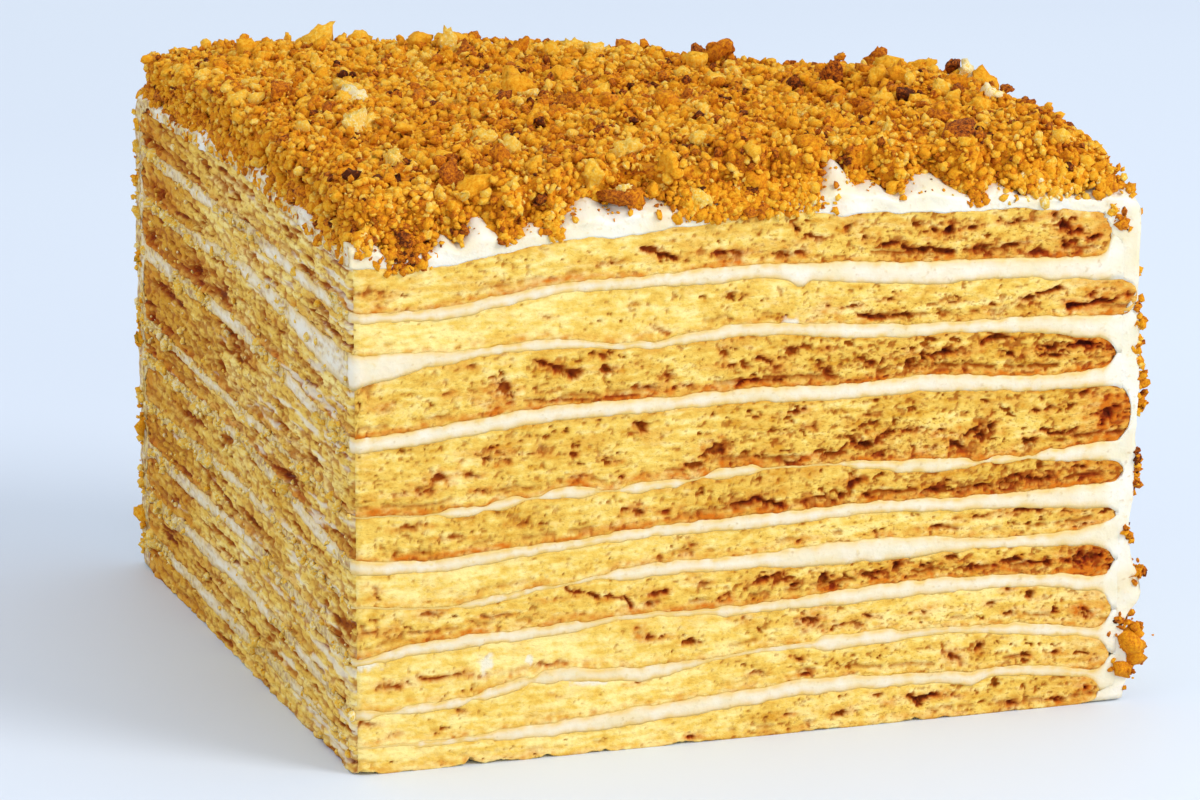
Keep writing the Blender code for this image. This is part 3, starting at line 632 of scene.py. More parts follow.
@dataclass
class HoneySponge:
    """One baked sponge: soft open crumb on the cuts, a baked crust under it."""

    number: int
    lines: LayerLines
    ends: RimEnds
    cells: int = 27
    splits: tuple[int, int] = (18, 13)
    row_height: float = 0.24
    crust: float = 1.05             # thickness of the baked underside on the cuts
    top_skin: float = 0.3           # and of the baked top
    cell: tuple[float, float] = (0.7, 0.45)        # length and height of a small pore
    hole: tuple[float, float] = (1.7, 0.75)        # and of a torn hole
    torn: float = 2.6               # the side cut is torn along the layers: how far drawn out
    cell_depth: float = 0.2
    hole_depth: float = 0.45
    pit_depth: float = 0.85
    # How brown each sponge is baked, from the bottom up: 0 is pale and 1 is brown.
    bakes: tuple[float, ...] = (0.2, 0.16, 0.18, 0.6, 0.28, 0.8, 0.72, 0.8, 0.25, 0.5)

    def build(self, finish: bpy.types.Material) -> bpy.types.Object:
        """Make the sponge's mesh, tear its cut faces open and dress it."""
        low, high = 2 * self.number - 2, 2 * self.number - 1
        mean = float(np.mean(self.lines.heights[high] - self.lines.heights[low]))
        rows = max(8, round(mean / self.row_height))
        mesh = mesh_of(unit_slab(self.cells, rows, self.splits), f"baked_sponge_{self.number:02d}")
        unit = places_in(mesh)
        hidden = covered_faces(mesh)
        share = unit[:, 2] / rows
        x, y = square_to_wedge(unit[:, 0], unit[:, 1])
        reach = self.ends.reach(self.number, y) - self.ends.drawn_in(share)
        x, y = stretch_rim(unit, x, y, reach, self.cells)
        bottom, top = self.lines.height(low, x, y), self.lines.height(high, x, y)
        z = bottom + share * (top - bottom)

        walls = CutWalls(unit)
        depth = np.zeros(len(x))
        values = {name: np.zeros(len(x)) for name in SPONGE_VALUES}
        for cut, wall, along in ((Cut.FRONT, walls.front, x), (Cut.SIDE, walls.side, y)):
            part = self.tear(cut, along[wall], z[wall], share[wall], (top - bottom)[wall])
            depth[wall] = part.pop("depth")
            for name, numbers in part.items():
                values[name][wall] = numbers
        x, y, into_x, into_y = walls.blunt(x, y)
        put_places(mesh, places_of(x + depth * into_x, y + depth * into_y, z), self.lines.tip)
        put_values(mesh, **values)
        return show(mesh, finish, [f"sponge_{self.number:02d}"], hidden)

    def tear(self, cut: Cut, along: Array, z: Array, share: Array,
             thick: Array) -> dict[str, Array]:
        """Work out the relief and the colour values of one cut face.

        Args:
            cut: which face it is.
            along: distance of each vertex from the tip.
            z: its height.
            share: its share of the sponge's height, from 0 to 1.
            thick: thickness of the sponge there.

        Returns:
            The depth of each vertex, and its values of pore colour with painted shade, crust, smear
            and tone.
        """
        side = cut is Cut.SIDE
        seed = 100 * self.number + (50 if side else 0)
        flat = places_of(along / (self.torn if side else 1.0), np.zeros(len(z)), z)
        above, below = share * thick, (1.0 - share) * thick
        bake = self.bakes[self.number - 1]
        right = np.full(len(z), 0.7) if side else ease((along - 28.0) / 55.0)
        broad = Grain(seed + 1).smooth(flat, 6.0)
        fine = Grain(seed + 5).layered(flat, 0.7, 2)

        # Small pores everywhere, and torn holes where the crumb is open.
        pits, scorched = self.pits(side, along, z, seed)
        if not side:
            pits = pits * (0.74 + 0.26 * right)
        opener = 0.10 * right + 0.10 * broad + 0.18 * (bake - 0.5) - 0.03 + 0.12 * scorched
        length, height = self.cell
        cells = Grain(seed + 2).layered(flat / (length, 1.0, height), 1.0, 2)
        cells = ease((cells - 0.33 + 1.8 * opener) / 0.22)
        length, height = self.hole
        holes = Grain(seed + 9).layered(flat / (length, 1.0, height), 1.0, 4) + 0.14 * fine
        holes = ease((holes - 0.42 + opener) / 0.16) * ease(above / 0.6) * ease(below / 0.5)
        seam = np.exp(-(((above - self.crust - 0.25) / 0.3) ** 2))
        seam *= ease((Grain(seed + 4).layered(flat / (2.6, 1.0, 5.0), 1.0, 3) + opener) / 0.22)
        seam *= 0.12 + 0.45 * right + 0.6 * bake

        wave = 1.0 + 0.95 * Grain(seed + 8).layered(flat * (1.0, 1.0, 0.0), 3.5, 3)
        patchy = 0.7 + 1.1 * Grain(seed + 14).layered(flat * (1.0, 1.0, 2.0), 1.6, 3)
        under = ease(1.5 - 1.25 * above / (self.crust * wave + 0.1)) * np.clip(patchy, 0.2, 1.25)
        crust = under * (0.12 + 0.95 * bake + 0.5 * fine)
        skin = ease(1.3 - below / (self.top_skin * wave + 0.1))
        crust = np.maximum(crust, (0.05 + 0.2 * bake) * skin)
        warm = ease((Grain(seed + 18).layered(flat * (0.5, 1.0, 1.6), 2.2, 3) - 0.05) / 0.4)
        crust = crust + 0.32 * warm * (0.3 + 0.7 * bake) * (0.7 + 0.3 * right)
        crust = crust + 0.4 * ease((along - 96.0) / 11.0) * (0.9 + 0.8 * fine)
        crust = crust + scorched * (0.6 + 0.5 * fine)
        if side:
            crust = 0.62 * crust

        depth = 0.15 * Grain(seed + 6).smooth(flat, 8.0) + 0.11 * fine
        depth += self.cell_depth * cells + self.hole_depth * np.maximum(holes, seam)
        depth += self.pit_depth * pits - 0.1 * np.exp(-((above / (0.5 * self.crust)) ** 2))
        # Painted shade in the hollows: the small pores, holes, seam, pits and cracks darken the
        # colour, on top of the browner crumb of their walls.
        strong = 0.78 + 0.22 * right
        pore_and_shade = np.maximum.reduce([0.4 * strong * cells, 0.68 * strong * holes, 0.62 * seam, pits])
        pore_and_shade = pore_and_shade * (0.88 + 0.35 * fine)
        if not side:
            flush = np.exp(-np.minimum(above, below) / 0.22)
            depth += flush * (cream_relief(flat) - depth)
        smear = np.zeros(len(z))
        dashes = Grain(seed + 3).layered(flat * (0.42, 1.0, 1.9), 1.0, 2)
        if side:
            reach, lump = Grain(seed + 7).clumps(flat[:, 0], z, 1.0)
            clump = np.clip(1.0 - reach / 0.75, 0.0, 1.0)
            rifts = Grain(seed + 12).layered(flat / (3.4, 1.0, 0.9), 1.0, 3)
            rifts = ease((rifts - 0.24) / 0.16) * np.clip(0.7 + 0.7 * fine, 0.25, 1.0)
            depth += 0.25 - 0.5 * clump * (0.6 + 0.5 * lump) + 0.5 * rifts
            # On the side cut the gaps between the torn clumps and the rifts get painted shade too.
            pore_and_shade = np.maximum.reduce([0.8 * pore_and_shade, 0.32 * ease((0.4 - clump) / 0.3), 0.8 * rifts])
            film = Grain(seed + 13).layered(flat / (3.2, 1.0, 0.9), 1.0, 3)
            smear = 0.7 * ease((film - 0.10 - 0.4 * ease((along - 15.0) / 60.0)) / 0.25)
            smear *= 1.0 - rifts
            far = ease((along - 60.0) / 40.0)
        else:
            for place, height, half_x, half_z in SMEARS:
                off = np.hypot((along - place) / half_x, (z - height) / half_z)
                smear = np.maximum(smear, 0.88 * ease(1.5 - off + 1.2 * fine))
        tone = 0.5 + 0.30 * dashes + 0.16 * fine + 0.14 * broad
        tone = tone + 0.26 * (bake - 0.5) + 0.1 * right - 0.05
        if side:
            tone = tone - 0.2 * bake + 0.05 + 0.36 * far
        open_crumb = np.clip(0.35 + 0.55 * right + 0.5 * (bake - 0.4), 0.1, 1.0)
        open_crumb = open_crumb * (1.0 - 0.5 * ease((above - 0.55 * thick) / (0.3 * thick)))
        return {"depth": np.clip(depth, -0.35, 1.8), "pore_and_shade": pore_and_shade,
                "crust": np.clip(crust, 0.0, 1.0), "smear": smear,
                "tone": np.clip(tone, 0.0, 1.0), "specks": open_crumb}

    def pits(self, side: bool, along: Array, z: Array, seed: int) -> tuple[Array, Array]:
        """How deep the named pits and cracks are, and how baked the crumb round them is."""
        flat = places_of(along, np.zeros(len(z)), z)
        rough = Grain(seed + 11).layered(flat * (0.8, 1.0, 1.2), 0.8, 3)
        if not side:
            along = along + 0.9 * Grain(seed + 15).smooth(flat, 1.7)
            z = z + 0.5 * Grain(seed + 16).smooth(flat * (0.8, 1.0, 1.0), 1.3)
        total, halo = np.zeros(len(z)), np.zeros(len(z))
        for place, height, length, thick, dark in (SIDE_PITS if side else PITS):
            if height < z.min() - 2.0 or height > z.max() + 2.0:
                continue
            bend = 0.25 * np.sin(1.1 * (along - place) + place)
            off = np.hypot((along - place) / (0.6 * length), (z - height - bend * 0.5)
                           / (0.65 * thick))
            total = np.maximum(total, dark * ease((1.05 - off + 1.4 * rough) / 0.8))
            halo = np.maximum(halo, dark * ease((2.8 - off + 1.8 * rough) / 2.2))
        if not side:
            for x0, z0, x1, z1, thick, dark in CRACKS:
                span = math.hypot(x1 - x0, z1 - z0)
                way_x, way_z = (x1 - x0) / span, (z1 - z0) / span
                run = np.clip((along - x0) * way_x + (z - z0) * way_z, 0.0, span)
                off = np.hypot(along - x0 - run * way_x, z - z0 - run * way_z) / (0.62 * thick)
                total = np.maximum(total, dark * ease((1.1 - off + 1.3 * rough) / 0.7))
                halo = np.maximum(halo, dark * ease((2.8 - off + 1.8 * rough) / 2.2))
        return total, halo


def stretch_rim(unit: Array, x: Array, y: Array, reach: Array, cells: int) -> tuple[Array, Array]:
    """Move the outermost ring of cells of a slab so that its rim gets the given radius."""
    last = np.clip((np.max(unit[:, :2], axis=1) - 1.0) * cells + 1.0, 0.0, 1.0)
    grow = 1.0 + last * (reach - INNER_RADIUS) / np.maximum(np.hypot(x, y), 1.0)
    return x * grow, y * grow


# The creams


def cream_relief(places: Array) -> Array:
    """Unevenness of the cut cream, which runs on from a layer into the coat."""
    return 0.1 * Grain(700).smooth(places, 3.0) + 0.06 * Grain(701).smooth(places, 0.9)


@dataclass
class SourCreamLayer:
    """The cream between two sponges, which swells a little out of the cuts."""

    number: int
    lines: LayerLines
    ends: RimEnds
    reach: float = 108.7            # it ends inside the coat
    cells: int = 27
    splits: tuple[int, int] = (10, 8)
    rows: int = 6
    swell: float = 0.08
    overlap: float = 0.07           # it sinks this far into the sponges on both sides
    # Where clean cream shows on the side cut: number of the cream, from and to.
    clean: Rows = (
        (9, 9.0, 44.0), (9, 62.0, 96.0), (8, 3.0, 30.0), (8, 34.0, 54.0), (8, 66.0, 81.0),
        (8, 104.0, 112.0), (7, 18.0, 30.0), (7, 46.0, 68.0), (7, 84.0, 112.0),
        (6, 44.0, 53.0), (6, 57.0, 90.0), (5, 7.0, 28.0), (5, 57.0, 66.0), (5, 106.0, 112.0),
        (4, 38.0, 70.0), (3, 46.0, 94.0), (2, 14.0, 26.0), (2, 40.0, 86.0), (1, 14.0, 30.0),
        (1, 52.0, 94.0),
    )

    def build(self, finish: bpy.types.Material) -> bpy.types.Object:
        """Make the cream's mesh and dress it."""
        low, high = 2 * self.number - 1, 2 * self.number
        mesh = mesh_of(unit_slab(self.cells, self.rows, self.splits), f"cream_{self.number:02d}_band")
        unit = places_in(mesh)
        hidden = covered_faces(mesh)
        share = unit[:, 2] / self.rows
        x, y = square_to_wedge(unit[:, 0], unit[:, 1])
        x, y = stretch_rim(unit, x, y, np.full(len(x), self.reach), self.cells)
        radius = np.hypot(x, y)
        bottom = self.lines.height(low, x, y) - self.flare(self.number, x, y, radius)
        top = self.lines.height(high, x, y) + self.flare(self.number + 1, x, y, radius)
        squeezed = top - bottom
        z = bottom + share * squeezed

        walls = CutWalls(unit)
        flat = places_of(x, y, z)
        grain = Grain(710 + self.number)
        out = self.swell * (1.0 - (2.0 * share - 1.0) ** 2) * np.clip(squeezed / 1.5, 0.2, 1.6)
        into = self.reach - radius
        depth = cream_relief(flat) - out * ease((into - 0.6) / 4.0)
        depth += 0.05 * (1.0 - ease(into / 0.8)) - 0.05 * ease(into / 0.8) * ease(2.0 - into / 2.0)
        if self.number in (1, SPONGES - 1):     # the coat goes on past the outermost creams
            past = 1.0 - share if self.number == 1 else share
            depth += 0.15 * ease(4.0 * past - 3.0) * (1.0 - ease(into / 3.0))
        dust = np.zeros(len(x))
        side = walls.side & (y > 1.0)
        shown = np.zeros(len(x))
        for number, start, end in self.clean:
            if number == self.number:
                shown = np.maximum(shown, stretch_between(y, start, end, 6.0))
        patches = Grain(760 + self.number).layered(flat * (1.0, 0.25, 1.4), 1.6, 3)
        covered = 0.88 - 0.56 * shown + 0.5 * patches + 0.22 * ease((y - 50.0) / 50.0)
        dust[side] = np.clip(covered, 0.05, 0.95)[side]
        lumpy = Grain(780 + self.number).layered(flat * (1.0, 0.5, 1.0), 0.9, 2)
        depth = np.where(side, depth + dust * (0.2 + 0.3 * lumpy) + 0.15 * patches, depth)
        edge = np.exp(-np.minimum(share, 1.0 - share) * squeezed / 0.65)
        edge *= ease((into - 1.1) / 2.0)
        stain = np.clip(edge * (1.15 + 0.9 * grain.layered(flat, 1.1, 2)), 0.0, 1.0)
        stain = np.maximum(stain, ease((0.75 - squeezed) / 0.5))
        soaked = 0.2 + 0.3 * ease((1.6 - squeezed) / 0.9) + 0.25 * grain.layered(flat, 2.2, 3)
        stain = np.maximum(stain, soaked * (0.4 + 0.6 * ease(into / 10.0)))
        x, y, into_x, into_y = walls.blunt(x, y)
        wall = walls.front | walls.side
        depth = np.where(wall, depth, 0.0)
        put_places(mesh, places_of(x + depth * into_x, y + depth * into_y, z), self.lines.tip)
        put_values(mesh, stain=np.where(wall, np.clip(stain, 0.0, 1.0), 0.0), dust=dust)
        return show(mesh, finish, [f"cream_{self.number:02d}"], hidden)

    def flare(self, number: int, x: Array, y: Array, radius: Array) -> Array:
        """How far the cream follows a sponge's rounded end, past the line between them."""
        reach = self.ends.reach(number, y)
        out = np.clip((radius + 0.1 - reach) / self.ends.nose + 1.0, 0.0, 1.0)
        thick = self.lines.plain(2 * number - 1, x, y) - self.lines.plain(2 * number - 2, x, y)
        return self.overlap + 0.5 * thick * (1.0 - np.sqrt(1.0 - out**2))


# The coat


# Cream that stands bare along the top of the front cut: place, half width, height above
# the top sponge, and depth behind the cut.
DOLLOPS: Rows = (
    (-0.5, 1.9, 4.2, 2.0), (3.7, 1.0, 3.0, 1.5), (7.7, 2.3, 2.0, 2.0), (13.0, 1.9, 3.6, 2.5),
    (17.8, 3.0, 5.0, 3.5), (25.0, 2.2, 2.6, 2.0), (33.0, 4.5, 4.6, 4.0), (39.5, 5.5, 5.0, 5.0),
    (51.7, 2.0, 2.4, 2.0), (58.7, 2.0, 1.9, 2.0), (68.0, 3.2, 6.3, 5.5), (72.5, 4.0, 3.6, 4.0),
    (80.5, 5.2, 4.6, 4.0), (90.2, 2.6, 3.1, 2.5), (97.5, 6.5, 2.2, 2.5), (106.5, 4.5, 3.4, 4.0),
)
# The same along the side cut.
SIDE_DOLLOPS: Rows = (
    (1.5, 2.5, 3.6, 1.5), (22.0, 8.0, 2.6, 1.5), (45.0, 7.5, 3.0, 1.5), (74.0, 7.0, 2.6, 1.5),
    (97.0, 8.0, 2.2, 1.5),
)


@dataclass
class SpreadCoat:
    """The cream spread over the top and down the round side."""

    lines: LayerLines
    ends: RimEnds
    cells: int = 92
    band: float = 0.075             # share of each side with finer faces, next to the cuts
    band_splits: int = 2
    skirt_rows: int = 104
    roll_rows: int = 8
    roll: float = 2.7               # radius of the rolled top edge
    inner: float = 107.95
    outer: float = 110.5
    lid: float = 2.1                # cream between the top sponge and the crumbs
    foot: float = 0.25
    wall_splits: int = 7
    # Outline at the right end of the front cut: heights and radii of the cream there.
    outline_heights: tuple[float, ...] = (0.0, 1.4, 5.0, 9.5, 11.3, 13.2, 15.0, 17.5, 21.0, 25.5,
                                          32.4, 38.0, 44.2, 48.0, 53.3, 57.0, 61.7, 66.5, 80.0)
    outline_reaches: tuple[float, ...] = (109.3, 109.9, 110.2, 109.6, 109.0, 111.2, 112.3, 111.4,
                                          110.2, 110.1, 111.0, 110.6, 111.2, 110.9, 111.0, 110.6,
                                          110.7, 110.9, 110.9)

    def build(self, finish: bpy.types.Material) -> bpy.types.Object:
        """Make the coat's mesh and dress it."""
        mesh = mesh_of(self.unit_shell(), "spread_cream_coat")
        unit = places_in(mesh)
        skin = np.empty(len(unit), np.float32)
        mesh.attributes["skin"].data.foreach_get("value", skin)
        mesh.attributes.remove(mesh.attributes["skin"])
        row = np.clip(-unit[:, 2], 0.0, None)
        x, y = square_to_wedge(unit[:, 0], unit[:, 1])
        angle = np.arctan2(y, x)
        outside = self.outside(unit, x, y, angle, row)
        inside = self.inside(unit, x, y, angle, row)
        places = outside + skin[:, None] * (inside - outside)
        walls = CutWalls(unit)
        flat = places.copy()
        depth = cream_relief(flat) + 0.35 * Grain(801).layered(flat, 1.8, 3) * ease(1.4 - 1.6 * skin)
        depth += 0.25 * np.clip(1.0 - skin * 8.0, 0.0, 1.0) * (row > 0)
        places[:, 1] += np.where(walls.front, depth, 0.0)
        places[:, 0] += np.where(walls.side & ~walls.front, depth, 0.0)
        put_places(mesh, places, self.lines.tip)
        stain = np.clip(0.08 + 0.4 * Grain(802).layered(flat, 4.0, 3), 0.0, 1.0)
        put_values(mesh, stain=stain, dust=self.dust(walls, flat, skin))
        owners = np.empty(len(mesh.loops), np.int32)
        starts = np.empty(len(mesh.polygons), np.int32)
        mesh.loops.foreach_get("vertex_index", owners)
        mesh.polygons.foreach_get("loop_start", starts)
        hidden = np.minimum.reduceat(skin[owners], starts) > 0.99
        return show(mesh, finish, ["cream_coat"], hidden)

    def dust(self, walls: CutWalls, places: Array, skin: Array) -> Array:
        """How much fine crumb lies on the coat: most on the side cut and on the top."""
        rough = Grain(803).layered(places, 1.5, 3)
        shown = np.zeros(len(places))
        for place, half, _, _ in SIDE_DOLLOPS:
            shown = np.maximum(shown, bump_at(places[:, 1], place, 0.8 * half))
        side = np.where(walls.side & ~walls.front, 0.95 - 0.7 * shown + 0.5 * rough, 0.0)
        shell = np.clip((rough - 0.42) * 1.6, 0.0, 0.6) * (skin < 0.01)
        return np.clip(np.maximum(side, shell), 0.0, 0.9)

    def unit_shell(self) -> bmesh.types.BMesh:
        """Make the lid, the skirt and their inner skin over the unit square."""
        shape = bmesh.new()
        skin = shape.verts.layers.float.new("skin")
        bmesh.ops.create_grid(shape, x_segments=self.cells, y_segments=self.cells, size=0.5)
        bmesh.ops.translate(shape, verts=shape.verts, vec=(0.5, 0.5, 0.0))
        near = [e for e in shape.edges
                if min(max(v.co.x for v in e.verts), max(v.co.y for v in e.verts)) < self.band]
        bmesh.ops.subdivide_edges(shape, edges=near, cuts=self.band_splits, use_grid_fill=True)
        rim = [e for e in shape.edges if e.is_boundary
               and min(max(v.co.x, v.co.y) for v in e.verts) > 1.0 - 1e-4]
        for _ in range(self.skirt_rows):
            made = bmesh.ops.extrude_edge_only(shape, edges=rim)["geom"]
            lower = [part for part in made if isinstance(part, bmesh.types.BMVert)]
            bmesh.ops.translate(shape, verts=lower, vec=(0.0, 0.0, -1.0))
            rim = [part for part in made if isinstance(part, bmesh.types.BMEdge)
                   and abs(part.verts[0].co.z - part.verts[1].co.z) < 0.5]
        bmesh.ops.recalc_face_normals(shape, faces=shape.faces)
        sheet = [*shape.verts, *shape.edges, *shape.faces]
        copy = bmesh.ops.extrude_face_region(shape, geom=sheet)["geom"]
        for part in copy:
            if isinstance(part, bmesh.types.BMVert):
                part[skin] = 1.0
        bmesh.ops.recalc_face_normals(shape, faces=shape.faces)
        across = [e for e in shape.edges if abs(e.verts[0][skin] - e.verts[1][skin]) > 0.5]
        bmesh.ops.subdivide_edges(shape, edges=across, cuts=self.wall_splits)
        return shape

    def lid_top(self, x: Array, y: Array) -> Array:
        """Height of the cream on the top, with its bare dollops along the cuts."""
        rise = np.zeros(len(x))
        for rows, along, behind in ((DOLLOPS, x, y), (SIDE_DOLLOPS, y, x)):
            for place, half, height, depth in rows:
                over = (height - self.lid) * bump_at(along, place, half * 1.25)
                back = ease((behind + 0.8) / (depth + 0.8))
                front = 1.0 - ease((behind - depth) / 3.0)
                rise = np.maximum(rise, over * (0.35 + 0.65 * back) * front)
        places = places_of(x, y, 0.0)
        uneven = 0.28 * Grain(811).layered(places, 2.6, 2) + 0.25 * Grain(812).smooth(places, 7.0)
        edge = 0.8 * np.exp(-np.minimum(x, y) / 0.7)
        return self.lines.height(2 * SPONGES - 1, x, y) + self.lid + rise + uneven - edge

    def rim_radius(self, angle: Array, z: Array) -> Array:
        """Outer radius of the coat, uneven from the spreading."""
        arc = angle * self.outer
        places = places_of(arc, np.zeros(len(arc)), z)
        strokes = Grain(821).layered(places * (0.16, 1.0, 0.75), 1.6, 3)
        broad = Grain(822).smooth(places * (1.0, 1.0, 1.3), 15.0)
        plain = self.outer + 0.42 * strokes + 0.55 * broad
        drawn = np.mean([np.interp(z + off, self.outline_heights, self.outline_reaches)
                         for off in (-1.2, -0.6, 0.0, 0.6, 1.2)], axis=0)
        near = np.exp(-((arc / 9.0) ** 2))
        return plain + near * (drawn + 0.2 * strokes - plain)

    def outside(self, unit: Array, x: Array, y: Array, angle: Array, row: Array) -> Array:
        """Places of the outer skin."""
        flat = np.minimum(1.0, (self.outer - self.roll) / INNER_RADIUS)
        top_z = self.lid_top(x * flat, y * flat)
        turn = np.clip(row / self.roll_rows, 0.0, 1.0) * 0.5 * math.pi
        down = np.clip((row - self.roll_rows) / (self.skirt_rows - self.roll_rows), 0.0, 1.0)
        shoulder = top_z - self.roll * (1.0 - np.cos(turn))
        wobble = 0.25 * Grain(831).smooth(places_of(x, y, 0.0), 5.0)
        z = shoulder - down * (shoulder - self.foot - np.abs(wobble))
        side = self.rim_radius(angle, z)
        reach = (side - self.roll) + self.roll * np.sin(turn)
        last = np.clip((np.max(unit[:, :2], axis=1) - 1.0) * 8.0 + 1.0, 0.0, 1.0)
        radius = np.hypot(x, y) * flat
        radius = radius + last * (reach - INNER_RADIUS * flat)
        return places_of(radius * np.cos(angle), radius * np.sin(angle), z)

    def inside(self, unit: Array, x: Array, y: Array, angle: Array, row: Array) -> Array:
        """Places of the inner skin, which lies on the stack."""
        grow = self.inner / INNER_RADIUS
        top_z = self.lines.height(2 * SPONGES - 1, x * grow, y * grow) - 0.05
        z = top_z - (row / self.skirt_rows) * (top_z - self.foot)
        radius = np.hypot(x, y) * grow
        nose = np.full(len(x), self.inner)
        for number in range(1, SPONGES + 1):
            low = self.lines.plain(2 * number - 2, x, y)
            high = self.lines.plain(2 * number - 1, x, y)
            share = (z - low) / (high - low)
            own = self.ends.reach(number, y) - self.ends.drawn_in(share)
            within = (share > 0.0) & (share < 1.0)
            nose = np.where(within, np.maximum(nose, own), nose)
            outermost = (number == 1) & (share < 0.64) | (number == SPONGES) & (share > 0.36)
            nose = np.where(outermost, own - 0.1, nose)
        nose = np.minimum(nose, self.rim_radius(angle, z) - 0.35)
        radius = np.where(row > 0, nose, np.minimum(radius, nose))
        return places_of(radius * np.cos(angle), radius * np.sin(angle), z)


# The crumbs


@dataclass(frozen=True)
class CrumbKind:
    """A size class of crumbs, with the shapes that are turned and repeated."""

    name: str
    smallest: float
    largest: float
    subdivisions: int
    breaks: int
    shapes: int = 10
    shortest: float = 0.06          # shorter edges are taken out

    def templates(self, seed: int) -> list[tuple[Array, Array]]:
        """Break a few crumbs of about one millimetre, and give their points and triangles."""
        draw = np.random.default_rng(seed)
        made = []
        for _ in range(self.shapes):
            shape = bmesh.new()
            bmesh.ops.create_icosphere(shape, subdivisions=self.subdivisions, radius=0.56)
            bmesh.ops.scale(shape, verts=shape.verts,
                            vec=(draw.uniform(0.95, 1.3), draw.uniform(0.7, 1.0),
                                 draw.uniform(0.45, 0.8)))
            for _ in range(self.breaks):
                facing = Vector(draw.normal(size=3)).normalized()
                where = facing * float(draw.uniform(0.24, 0.42))
                geom = [*shape.verts, *shape.edges, *shape.faces]
                bmesh.ops.bisect_plane(shape, geom=geom, plane_co=where, plane_no=facing,
                                       clear_outer=True)
                gap = [e for e in shape.edges if e.is_boundary]
                bmesh.ops.holes_fill(shape, edges=gap)
            bmesh.ops.dissolve_degenerate(shape, dist=self.shortest, edges=shape.edges)
            lumps = Grain(int(draw.integers(1, 9999)))
            places = np.array([vert.co for vert in shape.verts])
            swell = 1.0 + 0.3 * lumps.smooth(places * 3.1, 1.0) + 0.36 * lumps.smooth(places * 9, 1)
            for vert, scale in zip(shape.verts, swell):
                vert.co *= float(scale)
            bmesh.ops.triangulate(shape, faces=shape.faces)
            bmesh.ops.recalc_face_normals(shape, faces=shape.faces)
            shape.verts.index_update()
            points = np.array([vert.co for vert in shape.verts])
            faces = np.array([[vert.index for vert in face.verts] for face in shape.faces])
            shape.free()
            made.append((points, faces))
        return made


@dataclass
class CrumbHeap:
    """Many crumbs of one kind, joined into one mesh."""

    kind: CrumbKind
    seed: int
    places: list[Array] = field(default_factory=list)
    sizes: list[Array] = field(default_factory=list)
    tones: list[Array] = field(default_factory=list)

    def drop(self, places: Array, sizes: Array, tones: Array) -> None:
        """Add crumbs at places, with their sizes and how they are toasted."""
        self.places.append(places)
        self.sizes.append(sizes)
        self.tones.append(tones)

    def build(self, name: str, lines: LayerLines, finish: bpy.types.Material, node: str,
              most: int) -> None:
        """Join the crumbs into as few pieces as their number of triangles allows.

        Args:
            name: name of the pieces.
            lines: where the knife tip is.
            finish: the material.
            node: the CAD node that the crumbs are part of.
            most: most triangles of one piece.
        """
        places, sizes = np.concatenate(self.places), np.concatenate(self.sizes)
        tones = np.clip(np.concatenate(self.tones), 0.0, 1.0)
        draw = np.random.default_rng(self.seed)
        turns = random_turns(draw, len(places))
        shapes = self.kind.templates(self.seed + 1)
        choice = draw.integers(0, len(shapes), len(places))
        faces_each = max(len(faces) for _, faces in shapes)
        parts = math.ceil(len(places) * faces_each / most)
        for part in range(parts):
            mine = np.arange(part, len(places), parts)
            label = f"{name}_{part + 1}" if parts > 1 else name
            self.join(label, lines, finish, node, shapes,
                      (places[mine], sizes[mine], tones[mine], turns[mine], choice[mine]))

    def join(self, name: str, lines: LayerLines, finish: bpy.types.Material, node: str,
             shapes: list[tuple[Array, Array]], crumbs: tuple[Array, ...]) -> None:
        """Make one piece from the places, sizes, tones, turns and shapes of its crumbs."""
        places, sizes, tones, turns, choice = crumbs
        points, corners, tone = [], [], []
        start = 0
        for index, (template, faces) in enumerate(shapes):
            chosen = np.flatnonzero(choice == index)
            turned = np.einsum("nij,pj->npi", turns[chosen], template)
            turned = turned * sizes[chosen, None, None] + places[chosen, None, :]
            points.append(turned.reshape(-1, 3))
            step = start + len(template) * np.arange(len(chosen))
            corners.append((faces[None, :, :] + step[:, None, None]).reshape(-1, 3))
            tone.append(np.repeat(tones[chosen], len(template)))
            start += len(template) * len(chosen)
        points, corners = np.concatenate(points), np.concatenate(corners)
        points[:, 2] = np.maximum(points[:, 2], 0.02)
        mesh = joined_mesh(name, points, corners, lines.tip)
        put_values(mesh, tone=np.concatenate(tone))
        show(mesh, finish, [node])


def random_turns(draw: np.random.Generator, count: int) -> Array:
    """Random rotations, evenly spread, as three by three tables."""
    q = draw.normal(size=(count, 4))
    w, x, y, z = (q / np.linalg.norm(q, axis=1)[:, None]).T
    return np.stack([
        np.stack([1 - 2 * (y * y + z * z), 2 * (x * y - z * w), 2 * (x * z + y * w)], 1),
        np.stack([2 * (x * y + z * w), 1 - 2 * (x * x + z * z), 2 * (y * z - x * w)], 1),
        np.stack([2 * (x * z - y * w), 2 * (y * z + x * w), 1 - 2 * (x * x + y * y)], 1),
    ], 1)


def joined_mesh(name: str, points: Array, corners: Array, tip: Vector) -> bpy.types.Mesh:
    """Make one mesh of many repeated shapes from their points and triangles."""
    mesh = bpy.data.meshes.new(name)
    mesh.vertices.add(len(points))
    mesh.loops.add(3 * len(corners))
    mesh.polygons.add(len(corners))
    mesh.loops.foreach_set("vertex_index", corners.astype(np.int32).ravel())
    mesh.polygons.foreach_set("loop_start", np.arange(0, 3 * len(corners), 3, dtype=np.int32))
    put_places(mesh, points, tip)
    mesh.validate()
    return mesh


